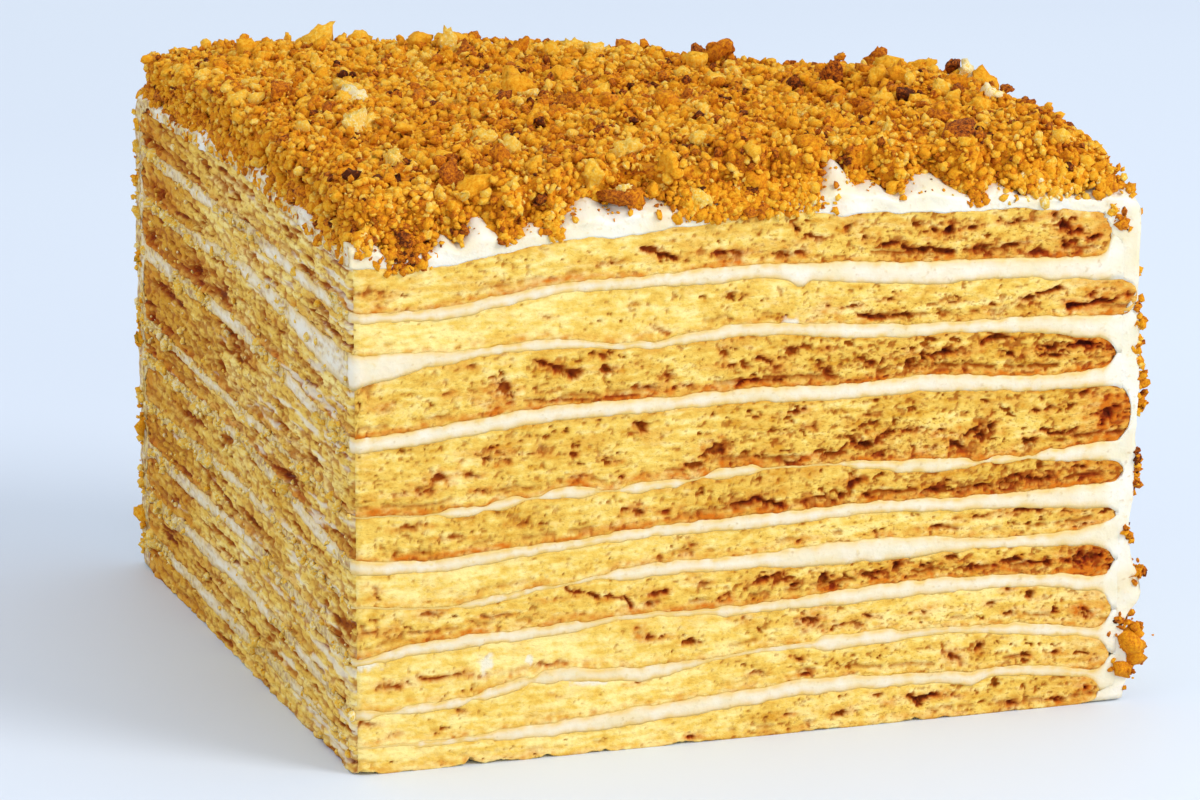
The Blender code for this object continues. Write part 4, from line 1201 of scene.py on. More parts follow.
@dataclass
class Surface:
    """Triangles that crumbs can be dropped on."""

    corners: Array                  # three corners of each triangle, in millimetres

    def __post_init__(self) -> None:
        """Work out the areas and the facing of the triangles."""
        a, b, c = self.corners[:, 0], self.corners[:, 1], self.corners[:, 2]
        cross = np.cross(b - a, c - a)
        length = np.linalg.norm(cross, axis=1)
        self.area = 0.5 * length
        self.facing = cross / np.maximum(length, 1e-9)[:, None]

    def only(self, keep: Array) -> "Surface":
        """The same surface with some triangles only."""
        return Surface(self.corners[keep])

    def spread(self, count: int, draw: np.random.Generator) -> tuple[Array, Array]:
        """Random places on the surface, with the way it faces there."""
        chosen = draw.choice(len(self.area), count, p=self.area / self.area.sum())
        r1, r2 = np.sqrt(draw.random(count)), draw.random(count)
        a, b, c = (self.corners[chosen, k] for k in range(3))
        places = (1 - r1)[:, None] * a + (r1 * (1 - r2))[:, None] * b + (r1 * r2)[:, None] * c
        return places, self.facing[chosen]


def spaced(places: Array, gap: float) -> Array:
    """Indexes of places that keep a distance from those before them."""
    cells: dict[tuple[int, int, int], list[int]] = {}
    kept = []
    for index, place in enumerate(places):
        a, b, c = (int(math.floor(value / gap)) for value in place)
        near = [k for i in (-1, 0, 1) for j in (-1, 0, 1) for m in (-1, 0, 1)
                for k in cells.get((a + i, b + j, c + m), ())]
        if all(np.sum((places[k] - place) ** 2) > gap * gap for k in near):
            cells.setdefault((a, b, c), []).append(index)
            kept.append(index)
    return np.array(kept)


# Crumbs that hang down over the cream at the top of the front cut: from and to along the
# cut, the heights between which they lie, how many for each millimetre, and their tone.
CURTAINS: Rows = (
    (0.4, 3.0, 70.0, 73.0, 3.0, 0.5), (3.4, 11.8, 67.6, 74.0, 9.0, 0.42),
    (5.8, 9.4, 68.0, 72.4, 9.0, 0.16), (14.6, 15.6, 71.0, 75.0, 4.0, 0.5),
    (20.4, 23.2, 70.2, 75.0, 7.0, 0.5), (26.6, 29.4, 70.4, 75.5, 8.0, 0.6),
    (44.0, 50.4, 71.5, 76.5, 4.0, 0.6), (44.0, 66.6, 71.6, 76.0, 8.0, 0.5),
    (53.2, 57.2, 72.0, 76.0, 5.0, 0.25), (60.4, 65.2, 71.8, 76.5, 4.0, 0.6),
    (76.0, 77.0, 72.5, 76.0, 5.0, 0.5),
    (85.4, 88.4, 71.0, 76.0, 8.0, 0.4), (92.2, 103.0, 72.0, 75.5, 6.0, 0.5),
    (103.0, 109.0, 71.0, 74.5, 4.0, 0.55), (90.0, 109.0, 70.8, 74.5, 2.0, 0.75),
)
# Large broken pieces of sponge that stand out on the top, as the photo shows them: x, y, z,
# size and tone.
NAMED_CHUNKS: Rows = (
    (7.4, 0.9, 71.8, 2.6, 0.12), (6.4, 0.7, 69.8, 2.2, 0.22), (9.6, 0.8, 70.6, 2.2, 0.4),
    (46.6, 1.2, 73.4, 2.8, 0.6), (55.0, 1.3, 74.6, 2.6, 0.3), (62.6, 1.2, 74.4, 2.8, 0.55),
    (36.6, 1.8, 75.2, 3.2, 0.22), (39.4, 1.6, 75.0, 3.6, 0.3), (42.0, 1.8, 75.6, 2.4, 0.5),
    (48.0, 1.8, 74.2, 4.8, 0.84), (37.8, 1.4, 76.2, 2.0, 0.9), (100.8, 1.8, 74.6, 2.0, 0.03),
    (21.2, 74.6, 78.3, 1.9, 0.0), (22.6, 74.9, 78.3, 1.4, 0.02), (16.4, 55.4, 79.0, 3.6, 1.0),
    (12.7, 39.9, 78.9, 4.4, 0.88), (14.8, 40.6, 78.8, 3.2, 0.8), (25.5, 53.7, 78.6, 2.6, 0.28),
    (22.5, 54.6, 78.5, 2.2, 0.2), (29.0, 53.0, 78.5, 2.0, 0.28), (35.6, 47.8, 79.2, 2.8, 0.16),
    (44.4, 41.2, 79.3, 4.6, 0.27), (42.8, 40.4, 78.9, 2.2, 0.08), (35.8, 30.1, 79.5, 1.8, 0.04),
    (30.6, 25.5, 78.6, 1.5, 0.06), (41.2, 22.6, 79.4, 1.8, 0.14), (47.7, 26.3, 79.8, 1.4, 0.04),
    (12.6, 21.3, 77.7, 3.2, 0.84), (51.6, 8.9, 79.8, 4.2, 0.8), (41.6, 91.0, 79.0, 4.0, 0.84),
    (37.6, 93.4, 78.7, 4.0, 0.6), (49.8, 83.3, 79.0, 3.0, 0.36), (53.3, 79.2, 79.3, 3.0, 0.7),
    (69.9, 63.9, 79.3, 3.6, 0.68), (49.5, 64.6, 78.5, 3.8, 0.58), (40.4, 51.0, 79.0, 3.0, 0.84),
    (63.0, 57.8, 78.6, 2.0, 0.22), (60.8, 42.5, 79.1, 2.0, 0.24), (73.6, 65.3, 80.6, 3.6, 0.3),
    (77.4, 44.2, 79.4, 2.4, 0.08), (82.6, 43.0, 80.3, 3.2, 0.14), (88.0, 55.0, 80.6, 1.6, 0.4),
    (92.6, 53.0, 80.4, 4.0, 0.26), (86.8, 36.2, 81.0, 3.8, 0.6), (87.5, 27.4, 80.5, 2.6, 0.02),
    (89.2, 27.0, 80.3, 1.6, 0.04), (92.9, 27.9, 80.8, 2.6, 0.74), (94.4, 26.2, 80.9, 2.4, 0.18),
    (93.5, 18.4, 79.6, 1.6, 0.18), (97.0, 45.4, 80.0, 3.4, 0.62), (99.5, 26.0, 80.0, 3.2, 1.0),
    (100.6, 38.8, 80.3, 4.4, 1.0), (102.4, 36.0, 79.8, 3.4, 0.55), (99.6, 41.2, 81.0, 2.4, 0.1),
    (104.0, 31.8, 79.4, 2.0, 0.16), (87.9, 16.7, 79.4, 3.0, 0.26), (97.1, 12.7, 78.6, 1.7, 0.14),
    (64.6, 4.0, 79.6, 4.6, 0.42),
)
# Stray crumbs on the coat where it ends at the two cuts: x, y, z, size and tone.
RIM_CRUMBS: Rows = (
    (108.0, 0.1, 67.0, 2.6, 0.36), (110.9, 0.6, 50.0, 1.6, 0.45), (111.0, 0.5, 52.6, 1.4, 0.5),
    (110.8, 0.5, 55.2, 1.5, 0.4), (110.9, 0.6, 47.6, 1.3, 0.6), (111.6, 1.0, 44.4, 2.4, 0.42),
    (111.5, 1.0, 41.8, 2.0, 0.45), (111.0, 0.4, 34.2, 1.1, 0.2), (110.9, 0.4, 32.4, 1.0, 0.2),
    (110.8, 0.4, 30.6, 0.9, 0.25), (109.6, 0.0, 24.0, 0.7, 0.3), (110.2, 0.2, 22.8, 0.7, 0.3),
    (111.4, 0.5, 17.8, 2.4, 0.42), (108.8, -0.1, 11.5, 1.0, 0.2), (110.4, 0.2, 8.2, 5.0, 0.42),
    (109.4, 0.1, 4.6, 4.0, 0.4), (111.5, 1.0, 9.6, 3.0, 0.45), (111.2, 0.6, 5.8, 3.2, 0.42),
    (112.0, 4.0, 30.0, 1.8, 0.4), (110.9, 2.0, 60.0, 1.2, 0.6), (106.9, -0.1, 69.0, 1.2, 0.6),
    (0.7, 109.2, 66.4, 3.4, 0.62), (0.5, 109.3, 62.6, 2.6, 0.8), (0.5, 109.0, 57.8, 3.8, 0.64),
    (0.4, 109.3, 53.0, 2.8, 0.84), (0.4, 109.2, 46.4, 3.2, 0.7), (0.3, 109.3, 38.8, 2.6, 0.8),
    (0.3, 109.1, 34.2, 3.4, 0.66), (0.2, 109.3, 25.4, 2.4, 0.84), (0.2, 109.1, 21.4, 3.6, 0.6),
    (0.1, 109.3, 12.6, 2.6, 0.78), (0.2, 109.1, 7.4, 3.4, 0.6), (0.2, 109.4, 2.9, 2.2, 0.86),
)


@dataclass
class CrumbTopping:
    """The heap of toasted crumbs and broken sponge on the top, with the strays."""

    lines: LayerLines
    coat: SpreadCoat
    voxel: float = 0.6
    uneven: float = 0.75
    setback: float = 2.2            # how far behind the cuts the CAD bed ends
    forward: float = 1.2            # how far its foot is moved towards them
    chunks: CrumbKind = CrumbKind("broken_sponge", 2.6, 4.6, 3, 2)
    lumps: CrumbKind = CrumbKind("coarse_crumbs", 1.3, 2.4, 2, 4, 12, 0.16)
    crumbs: CrumbKind = CrumbKind("crumbs", 0.7, 1.4, 1, 1, 16)
    grit: CrumbKind = CrumbKind("fine_crumbs", 0.36, 0.66, 1, 0, 8)
    chunk_count: int = 110
    lump_count: int = 1600
    crumb_count: int = 12500
    grit_count: int = 8500
    # Higher and lower parts of the heap along the rim: angle, half width, rise.
    rim_rises: Rows = ((26.0, 14.0, 1.5), (90.0, 8.0, -1.4))
    side_curtain: int = 2800
    side_cover: int = 1900          # crumbs pressed into the creams on the side cut
    foot_crumbs: int = 1300         # crumbs along the foot of the bed on each cut
    shoulder_crumbs: int = 1500     # crumbs on the rolled edge of the coat
    highest: float = 83.4
    palest: float = 0.8             # tone of the palest loose crumb
    most_triangles: int = 190000    # a heap with more is made as several pieces

    def build(self, finish: bpy.types.Material) -> None:
        """Make the bed and all crumbs on it."""
        bed = self.bed(finish)
        surface = self.surface_of(bed)
        draw = np.random.default_rng(3)
        self.scatter(surface, finish, draw)
        self.strays(finish, draw)

    def bed(self, finish: bpy.types.Material) -> bpy.types.Object:
        """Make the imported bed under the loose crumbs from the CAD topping."""
        shape = bmesh.new()
        shape.from_mesh(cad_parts["crumb_topping"].data)
        bmesh.ops.remove_doubles(shape, verts=shape.verts, dist=1e-6)
        rough = bpy.data.objects.new("bed_rough", mesh_of(shape, "bed_rough"))
        bpy.context.scene.collection.objects.link(rough)
        remesh = rough.modifiers.new("Remesh", "REMESH")
        remesh.mode = "VOXEL"
        remesh.voxel_size = self.voxel * MM
        bpy.context.view_layer.update()
        seen = rough.evaluated_get(bpy.context.evaluated_depsgraph_get())
        mesh = bpy.data.meshes.new_from_object(seen)
        bpy.data.objects.remove(rough)
        mesh.name = "packed_crumb_bed"
        mesh.materials.clear()
        for layer in [a for a in mesh.attributes if not (a.is_required or a.is_internal)]:
            mesh.attributes.remove(layer)
        places = (places_in(mesh) - np.array(self.lines.tip)) / MM
        places = self.shape_front(places)
        turned, radius = np.degrees(np.arctan2(places[:, 1], places[:, 0])), np.hypot(*places.T[:2])
        for angle, half, rise in self.rim_rises:
            outer = bump_at(turned, angle, half) * ease((radius - 88.0) / 12.0)
            places[:, 2] += rise * outer * ease((places[:, 2] - 75.0) / 2.0)
        push = self.uneven * Grain(901).layered(places, 1.9, 3) - 0.25
        normals = np.empty(3 * len(mesh.vertices), np.float32)
        mesh.vertices.foreach_get("normal", normals)
        places = places + push[:, None] * normals.reshape(-1, 3)
        places[:, 0] = np.maximum(places[:, 0], 0.2)
        places[:, 1] = np.maximum(places[:, 1], 0.2)
        put_places(mesh, places, self.lines.tip)
        tone = 0.40 + 0.35 * Grain(902).layered(places, 1.1, 3)
        put_values(mesh, tone=np.clip(tone, 0.0, 1.0))
        return show(mesh, finish, ["crumb_topping"])

    def shape_front(self, places: Array) -> Array:
        """Open bays in the bed behind the bare cream, and bring it forward between them."""
        places = places.copy()
        for rows, along, behind in ((DOLLOPS, 0, 1), (SIDE_DOLLOPS, 1, 0)):
            front = self.foot(rows, places[:, along])
            reach = 16.0
            share = (places[:, behind] - self.setback) / (reach - self.setback)
            moved = front + np.clip(share, -0.02, 1.0) * (reach - front)
            places[:, behind] = np.where(share < 1.0, moved, places[:, behind])
        return places

    def foot(self, rows: Rows, along: Array) -> Array:
        """How far behind a cut the bed begins: farther back where the cream is bare."""
        front = np.full(len(along), self.forward)
        for place, half, _, depth in rows:
            bay = bump_at(along, place, half * 1.35)
            front = np.maximum(front, self.forward + (depth - self.forward + 0.6) * bay)
        return front

    def surface_of(self, bed: bpy.types.Object) -> Surface:
        """The faces of the bed that crumbs can lie on."""
        mesh = bed.data
        mesh.calc_loop_triangles()
        index = np.empty(3 * len(mesh.loop_triangles), np.int32)
        mesh.loop_triangles.foreach_get("vertices", index)
        places = (places_in(mesh) - np.array(self.lines.tip)) / MM
        surface = Surface(places[index.reshape(-1, 3)])
        return surface.only(surface.facing[:, 2] > -0.25)

    def toast(self, count: int, draw: np.random.Generator) -> Array:
        """How dark each crumb is toasted: 0 is burnt, 1 is pale."""
        tone = 0.56 + 0.13 * draw.normal(size=count)
        pick = draw.random(count)
        tone = np.where(pick < 0.045, draw.uniform(0.68, 0.8, count), tone)
        tone = np.where((pick > 0.10) & (pick < 0.20), draw.uniform(0.18, 0.34, count), tone)
        return np.where(pick > 0.98, draw.uniform(0.0, 0.12, count), tone)

    def kept_inside(self, places: Array, sizes: Array) -> Array:
        """Keep crumbs from standing out past the cuts and the rim."""
        places = places.copy()
        margin = 0.45 * sizes - 0.45
        places[:, 0] = np.maximum(places[:, 0], margin)
        places[:, 1] = np.maximum(places[:, 1], margin)
        radius = np.hypot(places[:, 0], places[:, 1])
        pull = np.minimum(1.0, (111.2 - 0.3 * sizes) / radius)
        places[:, :2] *= pull[:, None]
        places[:, 2] = np.minimum(places[:, 2], self.highest - 0.5 * sizes)
        return places

    def scatter(self, surface: Surface, finish: bpy.types.Material,
                draw: np.random.Generator) -> None:
        """Drop the crumbs of every kind on the bed and over its front edge."""
        curtain_places, curtain_tones = self.curtains(draw)
        jobs = ((self.chunks, self.chunk_count, 4.4, 0.0), (self.lumps, self.lump_count, 1.3, 0.2),
                (self.crumbs, self.crumb_count, 0.0, 0.3), (self.grit, self.grit_count, 0.0, 0.35))
        for step, (kind, count, gap, proud) in enumerate(jobs):
            tries = int(count * (2.5 if gap else 1.0))
            places, facing = surface.spread(tries, draw)
            if gap:
                keep = spaced(places, gap)[:count]
                places, facing = places[keep], facing[keep]
            sizes = self.size_range(kind, len(places), draw)
            lift = (proud + 0.16 * draw.normal(size=len(places))) * sizes
            places = self.kept_inside(places + lift[:, None] * facing, sizes)
            heap = CrumbHeap(kind, 50 + step)
            clear = self.off_cream(places, sizes)
            tones = self.toast(len(places), draw) + 0.14 * Grain(903).layered(places, 9.0, 2)
            tones += 0.2 * Grain(904).layered(places, 2.6, 2)
            tones += 0.03 * ease((50.0 - places[:, 0]) / 20.0)
            tones -= 0.2 * ease((Grain(905).layered(places, 4.5, 3) - 0.26) / 0.25)
            heap.drop(places[clear], sizes[clear], np.minimum(tones, self.palest)[clear])
            share = {"coarse_crumbs": 0.06, "crumbs": 0.52, "fine_crumbs": 0.42}.get(kind.name, 0.0)
            chosen = draw.random(len(curtain_places)) < share
            if chosen.any():
                sizes = self.size_range(kind, int(chosen.sum()), draw)
                heap.drop(curtain_places[chosen], sizes, curtain_tones[chosen])
            if kind is self.chunks:
                named = np.array(NAMED_CHUNKS)
                heap.drop(named[:, :3], named[:, 3], named[:, 4])
            if kind is self.crumbs or kind is self.grit:
                self.specks(heap, draw)
            heap.build(kind.name, self.lines, finish, "crumb_topping", self.most_triangles)

    def size_range(self, kind: CrumbKind, count: int, draw: np.random.Generator) -> Array:
        """Random sizes of a kind, mostly near its small end."""
        return kind.smallest + (kind.largest - kind.smallest) * draw.random(count) ** 1.6

    def off_cream(self, places: Array, sizes: Array) -> Array:
        """Tell which crumbs don't hide the bare cream along the cuts."""
        clear = np.ones(len(places), bool)
        for rows, along, behind in ((DOLLOPS, 0, 1), (SIDE_DOLLOPS, 1, 0)):
            bare = self.foot(rows, places[:, along]) - self.forward
            clear &= (bare < 0.5) | (places[:, behind] > bare + self.forward - 0.9 - 0.3 * sizes)
        return clear

    def curtains(self, draw: np.random.Generator) -> tuple[Array, Array]:
        """Places and tones of the crumbs that hang over the top of the front cut."""
        places, tones = [], []
        for start, end, low, high, dense, tone in CURTAINS:
            count = int((end - start) * dense * 5.0)
            x = 0.5 * (draw.normal(0.5 * (start + end), 0.3 * (end - start), count)
                       + draw.uniform(start, end, count))
            z = draw.uniform(low, high, count)
            behind = draw.uniform(-0.15, 0.35, count)
            behind += 0.5 * np.clip(z - self.coat.lid_top(x, behind), 0.0, None)
            places.append(np.column_stack((x, behind, z)))
            tones.append(tone + 0.14 * draw.normal(size=count))
        for rows, side in ((DOLLOPS, False), (SIDE_DOLLOPS, True)):
            along = draw.uniform(0.5, 106.0, self.foot_crumbs)
            back = self.foot(rows, along) + draw.uniform(-0.9, 0.9, len(along))
            x, y = (back, along) if side else (along, back)
            z = self.coat.lid_top(x, y) + draw.uniform(-0.1, 1.0, len(along))
            places.append(np.column_stack((x, y, z)))
            tones.append(0.48 + 0.15 * draw.normal(size=len(along)))
        count = self.shoulder_crumbs
        angle = draw.uniform(0.004, 0.5 * math.pi - 0.004, count)
        turn = 1.25 * draw.random(count) ** 1.2
        inner, roll = self.coat.outer - self.coat.roll, self.coat.roll
        z = self.coat.lid_top(inner * np.cos(angle), inner * np.sin(angle))
        z = z - roll * (1.0 - np.cos(turn))
        reach = self.coat.rim_radius(angle, z) - roll * (1.0 - np.sin(turn)) + 0.15
        places.append(np.column_stack((reach * np.cos(angle), reach * np.sin(angle), z + 0.1)))
        tones.append(self.toast(count, draw))
        count = self.side_curtain
        y = draw.uniform(1.0, 106.0, count)
        line = self.lines.height(2 * SPONGES - 1, np.zeros(count), y)
        z = line + draw.uniform(0.3, 4.5, count)
        shown = np.zeros(count)
        for place, half, _, _ in SIDE_DOLLOPS:
            shown = np.maximum(shown, bump_at(y, place, half))
        keep = draw.random(count) > 0.6 * shown
        behind = draw.uniform(-0.1, 0.7, count) + 0.25 * (z - line)
        places.append(np.column_stack((behind, y, z))[keep])
        tones.append((0.45 + 0.15 * draw.normal(size=count))[keep])
        pressed = self.pressed(draw)
        places.append(pressed)
        tones.append(0.9 + 0.06 * draw.normal(size=len(pressed)))
        return np.concatenate(places), np.concatenate(tones)

    def pressed(self, draw: np.random.Generator) -> Array:
        """Places of the crumbs that the knife pressed into the creams on the side cut."""
        each = self.side_cover // (SPONGES - 1)
        found = []
        for number in range(1, SPONGES):
            y = draw.uniform(1.0, 107.0, each)
            shown = np.zeros(each)
            for owner, start, end in SourCreamLayer.clean:
                if owner == number:
                    shown = np.maximum(shown, stretch_between(y, start, end, 6.0))
            flat = places_of(0.0 * y, y, 9.0 * number)
            thick = Grain(790).layered(flat, 6.0, 2) + 0.5 * ease((y - 40.0) / 60.0)
            keep = draw.random(each) < (0.9 - 0.75 * shown) * ease(thick + 0.7)
            low = self.lines.height(2 * number - 1, 0.0 * y, y)
            high = self.lines.height(2 * number, 0.0 * y, y)
            z = low + draw.uniform(-0.1, 1.1, each) * (high - low)
            found.append(places_of(draw.uniform(-0.1, 0.15, each), y, z)[keep])
        return np.concatenate(found)

    def specks(self, heap: CrumbHeap, draw: np.random.Generator) -> None:
        """Drop single crumbs on the bare cream and on the two cuts."""
        fine = heap.kind is self.grit
        count = 260 if fine else 60
        x = draw.uniform(1.0, 106.0, count)
        y = draw.uniform(0.2, 4.0, count)
        z = self.coat.lid_top(x, y) + 0.1
        sizes = self.size_range(heap.kind, count, draw) * 0.8
        heap.drop(np.column_stack((x, y, z)), sizes, self.toast(count, draw))
        count = 420 if fine else 90
        y = draw.uniform(1.0, 108.0, count)
        z = draw.uniform(0.5, 69.0, count)
        sizes = self.size_range(heap.kind, count, draw) * 0.9
        tones = 0.9 + 0.07 * draw.normal(size=count)
        heap.drop(np.column_stack((0.1 - 0.15 * sizes, y, z)), sizes, tones)

    def strays(self, finish: bpy.types.Material, draw: np.random.Generator) -> None:
        """Stick the stray crumbs to the cream on the round side."""
        tone = self.toast
        for kind, count, seed in ((self.lumps, 60, 71), (self.crumbs, 420, 72), (self.grit, 800, 73)):
            heap = CrumbHeap(kind, seed)
            angle = draw.uniform(0.01, 0.5 * math.pi - 0.01, count)
            z = 0.8 + 68.0 * draw.random(count) ** 1.25
            sizes = self.size_range(kind, count, draw)
            reach = self.coat.rim_radius(angle, z) + 0.08 * sizes
            places = np.column_stack((reach * np.cos(angle), reach * np.sin(angle), z))
            heap.drop(places, sizes, tone(count, draw))
            named = np.array(RIM_CRUMBS)
            if kind is self.lumps:
                heap.drop(named[:, :3], named[:, 3], named[:, 4])
            else:
                near = np.repeat(named, 12, axis=0)
                spread = draw.normal(size=(len(near), 3)) * (0.22, 0.22, 0.42)
                spots = near[:, :3] + spread * near[:, 3:4]
                spots[:, 0] = np.maximum(spots[:, 0], -0.2)
                spots[:, 1] = np.clip(spots[:, 1], 0.0, 110.8)
                heap.drop(spots, self.size_range(kind, len(near), draw),
                          near[:, 4] + 0.15 * draw.normal(size=len(near)))
            heap.build("stray_" + kind.name, self.lines, finish, "cream_coat", self.most_triangles)


# Finishes


def linear(code: str) -> tuple[float, float, float, float]:
    """Linear colour of an sRGB hex value."""
    parts = [int(code[k:k + 2], 16) / 255.0 for k in (1, 3, 5)]
    return (*[p / 12.92 if p <= 0.04045 else ((p + 0.055) / 1.055) ** 2.4 for p in parts], 1.0)


def add(tree: bpy.types.NodeTree, kind: str, links: dict | None = None,
        stops: tuple | None = None, **settings) -> bpy.types.Node:
    """Add a node, set its fields and plug or set its inputs.

    Args:
        tree: the node tree.
        kind: Blender's name of the node type.
        links: an output socket or a plain value for each input, by name or number.
        stops: the places and colours of a colour ramp.
        settings: fields of the node.

    Returns:
        The new node.
    """
    node = tree.nodes.new(kind)
    for name, value in settings.items():
        setattr(node, name, value)
    if stops:
        elements = node.color_ramp.elements
        while len(elements) < len(stops):
            elements.new(0.5)
        for element, (place, code) in zip(elements, stops):
            element.position = place
            element.color = linear(code)
    for key, source in (links or {}).items():
        if isinstance(source, bpy.types.NodeSocket):
            tree.links.new(source, node.inputs[key])
        else:
            node.inputs[key].default_value = source
    return node


def per_metre(size: float) -> float:
    """Scale of a noise whose lumps are this many millimetres across."""
    return 1.0 / (size * MM)


def new_finish(name: str) -> tuple[bpy.types.Material, bpy.types.NodeTree, bpy.types.Node]:
    """Start a material, and give it with its node tree and its shader."""
    material = bpy.data.materials.new(name)
    material.use_nodes = True
    return material, material.node_tree, material.node_tree.nodes["Principled BSDF"]


@dataclass(frozen=True)
class BakedHoneySponge:
    """Baked honey sponge, cut with a knife: matt golden crumb with dark open pores.

    A sponge has no gloss at all, its cell walls are pale and its pores go brown where
    the light doesn't reach, and its underside is a thin amber crust.
    """

    name: str = "baked_honey_sponge"
    pale: str = "#F6DF8E"
    golden: str = "#EAC35A"
    deep: str = "#D2982C"
    amber: str = "#CC6C10"
    speck: str = "#A86A18"
    # Colours of the hollows: the browner crumb of their walls with painted shade in them.
    pore_and_shade: str = "#B87822"
    pit_and_shade: str = "#572309"
    cream: str = "#E9E1CA"
    cell: float = 0.7               # millimetres
    dot: float = 0.55
    mottle: float = 2.6
    roughness: float = 0.88

    def build(self) -> bpy.types.Material:
        """Make the material."""
        material, tree, shader = new_finish(self.name)
        coords = add(tree, "ShaderNodeTexCoord").outputs["Object"]
        flat = add(tree, "ShaderNodeMapping", {"Vector": coords, "Scale": (1.0, 0.45, 1.8)})
        cells = add(tree, "ShaderNodeTexNoise", {"Vector": flat.outputs[0], "Detail": 4.0,
                                                 "Scale": per_metre(self.cell),
                                                 "Roughness": 0.65})
        mottle = add(tree, "ShaderNodeTexNoise", {"Vector": flat.outputs[0], "Detail": 2.0,
                                                  "Scale": per_metre(self.mottle)})
        values = {name: add(tree, "ShaderNodeAttribute", attribute_name=name).outputs["Fac"]
                  for name in SPONGE_VALUES}
        both = add(tree, "ShaderNodeMath", {0: cells.outputs["Fac"], 1: mottle.outputs["Fac"]},
                   operation="ADD")
        shade = add(tree, "ShaderNodeMath", {0: both.outputs[0], 1: 0.42, 2: values["tone"]},
                    operation="MULTIPLY_ADD")
        lifted = add(tree, "ShaderNodeMath", {0: shade.outputs[0], 1: 0.42}, operation="SUBTRACT")
        crumb = add(tree, "ShaderNodeValToRGB", {0: lifted.outputs[0]}, stops=(
            (0.22, self.pale), (0.5, self.golden), (0.82, self.deep)))
        baked = add(tree, "ShaderNodeMix", {0: values["crust"], 6: crumb.outputs[0],
                                            7: linear(self.amber)}, data_type="RGBA")
        dots = add(tree, "ShaderNodeTexNoise", {"Vector": flat.outputs[0], "Detail": 2.0,
                                                "Scale": per_metre(self.dot)})
        dotted = add(tree, "ShaderNodeMapRange", {0: dots.outputs["Fac"], 1: 0.56, 2: 0.68,
                                                  3: 0.0, 4: 0.7})
        specked = add(tree, "ShaderNodeMath", {0: dotted.outputs[0], 1: values["specks"]},
                      operation="MULTIPLY")
        freckled = add(tree, "ShaderNodeMix", {0: specked.outputs[0], 6: baked.outputs[2],
                                               7: linear(self.speck)}, data_type="RGBA")
        # Painted shade in the hollows: the pore value multiplies the crumb's colour down to brown in
        # the pores and near black in the deepest pits, with the browner crumb of their walls.
        hollow_shade = add(tree, "ShaderNodeValToRGB", {0: values["pore_and_shade"]}, stops=(
            (0.0, "#FFFFFF"), (0.45, self.pore_and_shade), (1.0, self.pit_and_shade)))
        open_crumb = add(tree, "ShaderNodeMix", {0: 1.0, 6: freckled.outputs[2],
                                                 7: hollow_shade.outputs[0]},
                         data_type="RGBA", blend_type="MULTIPLY")
        smeared = add(tree, "ShaderNodeMix", {0: values["smear"], 6: open_crumb.outputs[2],
                                              7: linear(self.cream)}, data_type="RGBA")
        bump = add(tree, "ShaderNodeBump", {"Height": cells.outputs["Fac"], "Strength": 0.7,
                                            "Distance": 0.35 * MM})
        tree.links.new(smeared.outputs[2], shader.inputs["Base Color"])
        tree.links.new(bump.outputs[0], shader.inputs["Normal"])
        shader.inputs["Roughness"].default_value = self.roughness
        shader.inputs["Specular IOR Level"].default_value = 0.15
        return material


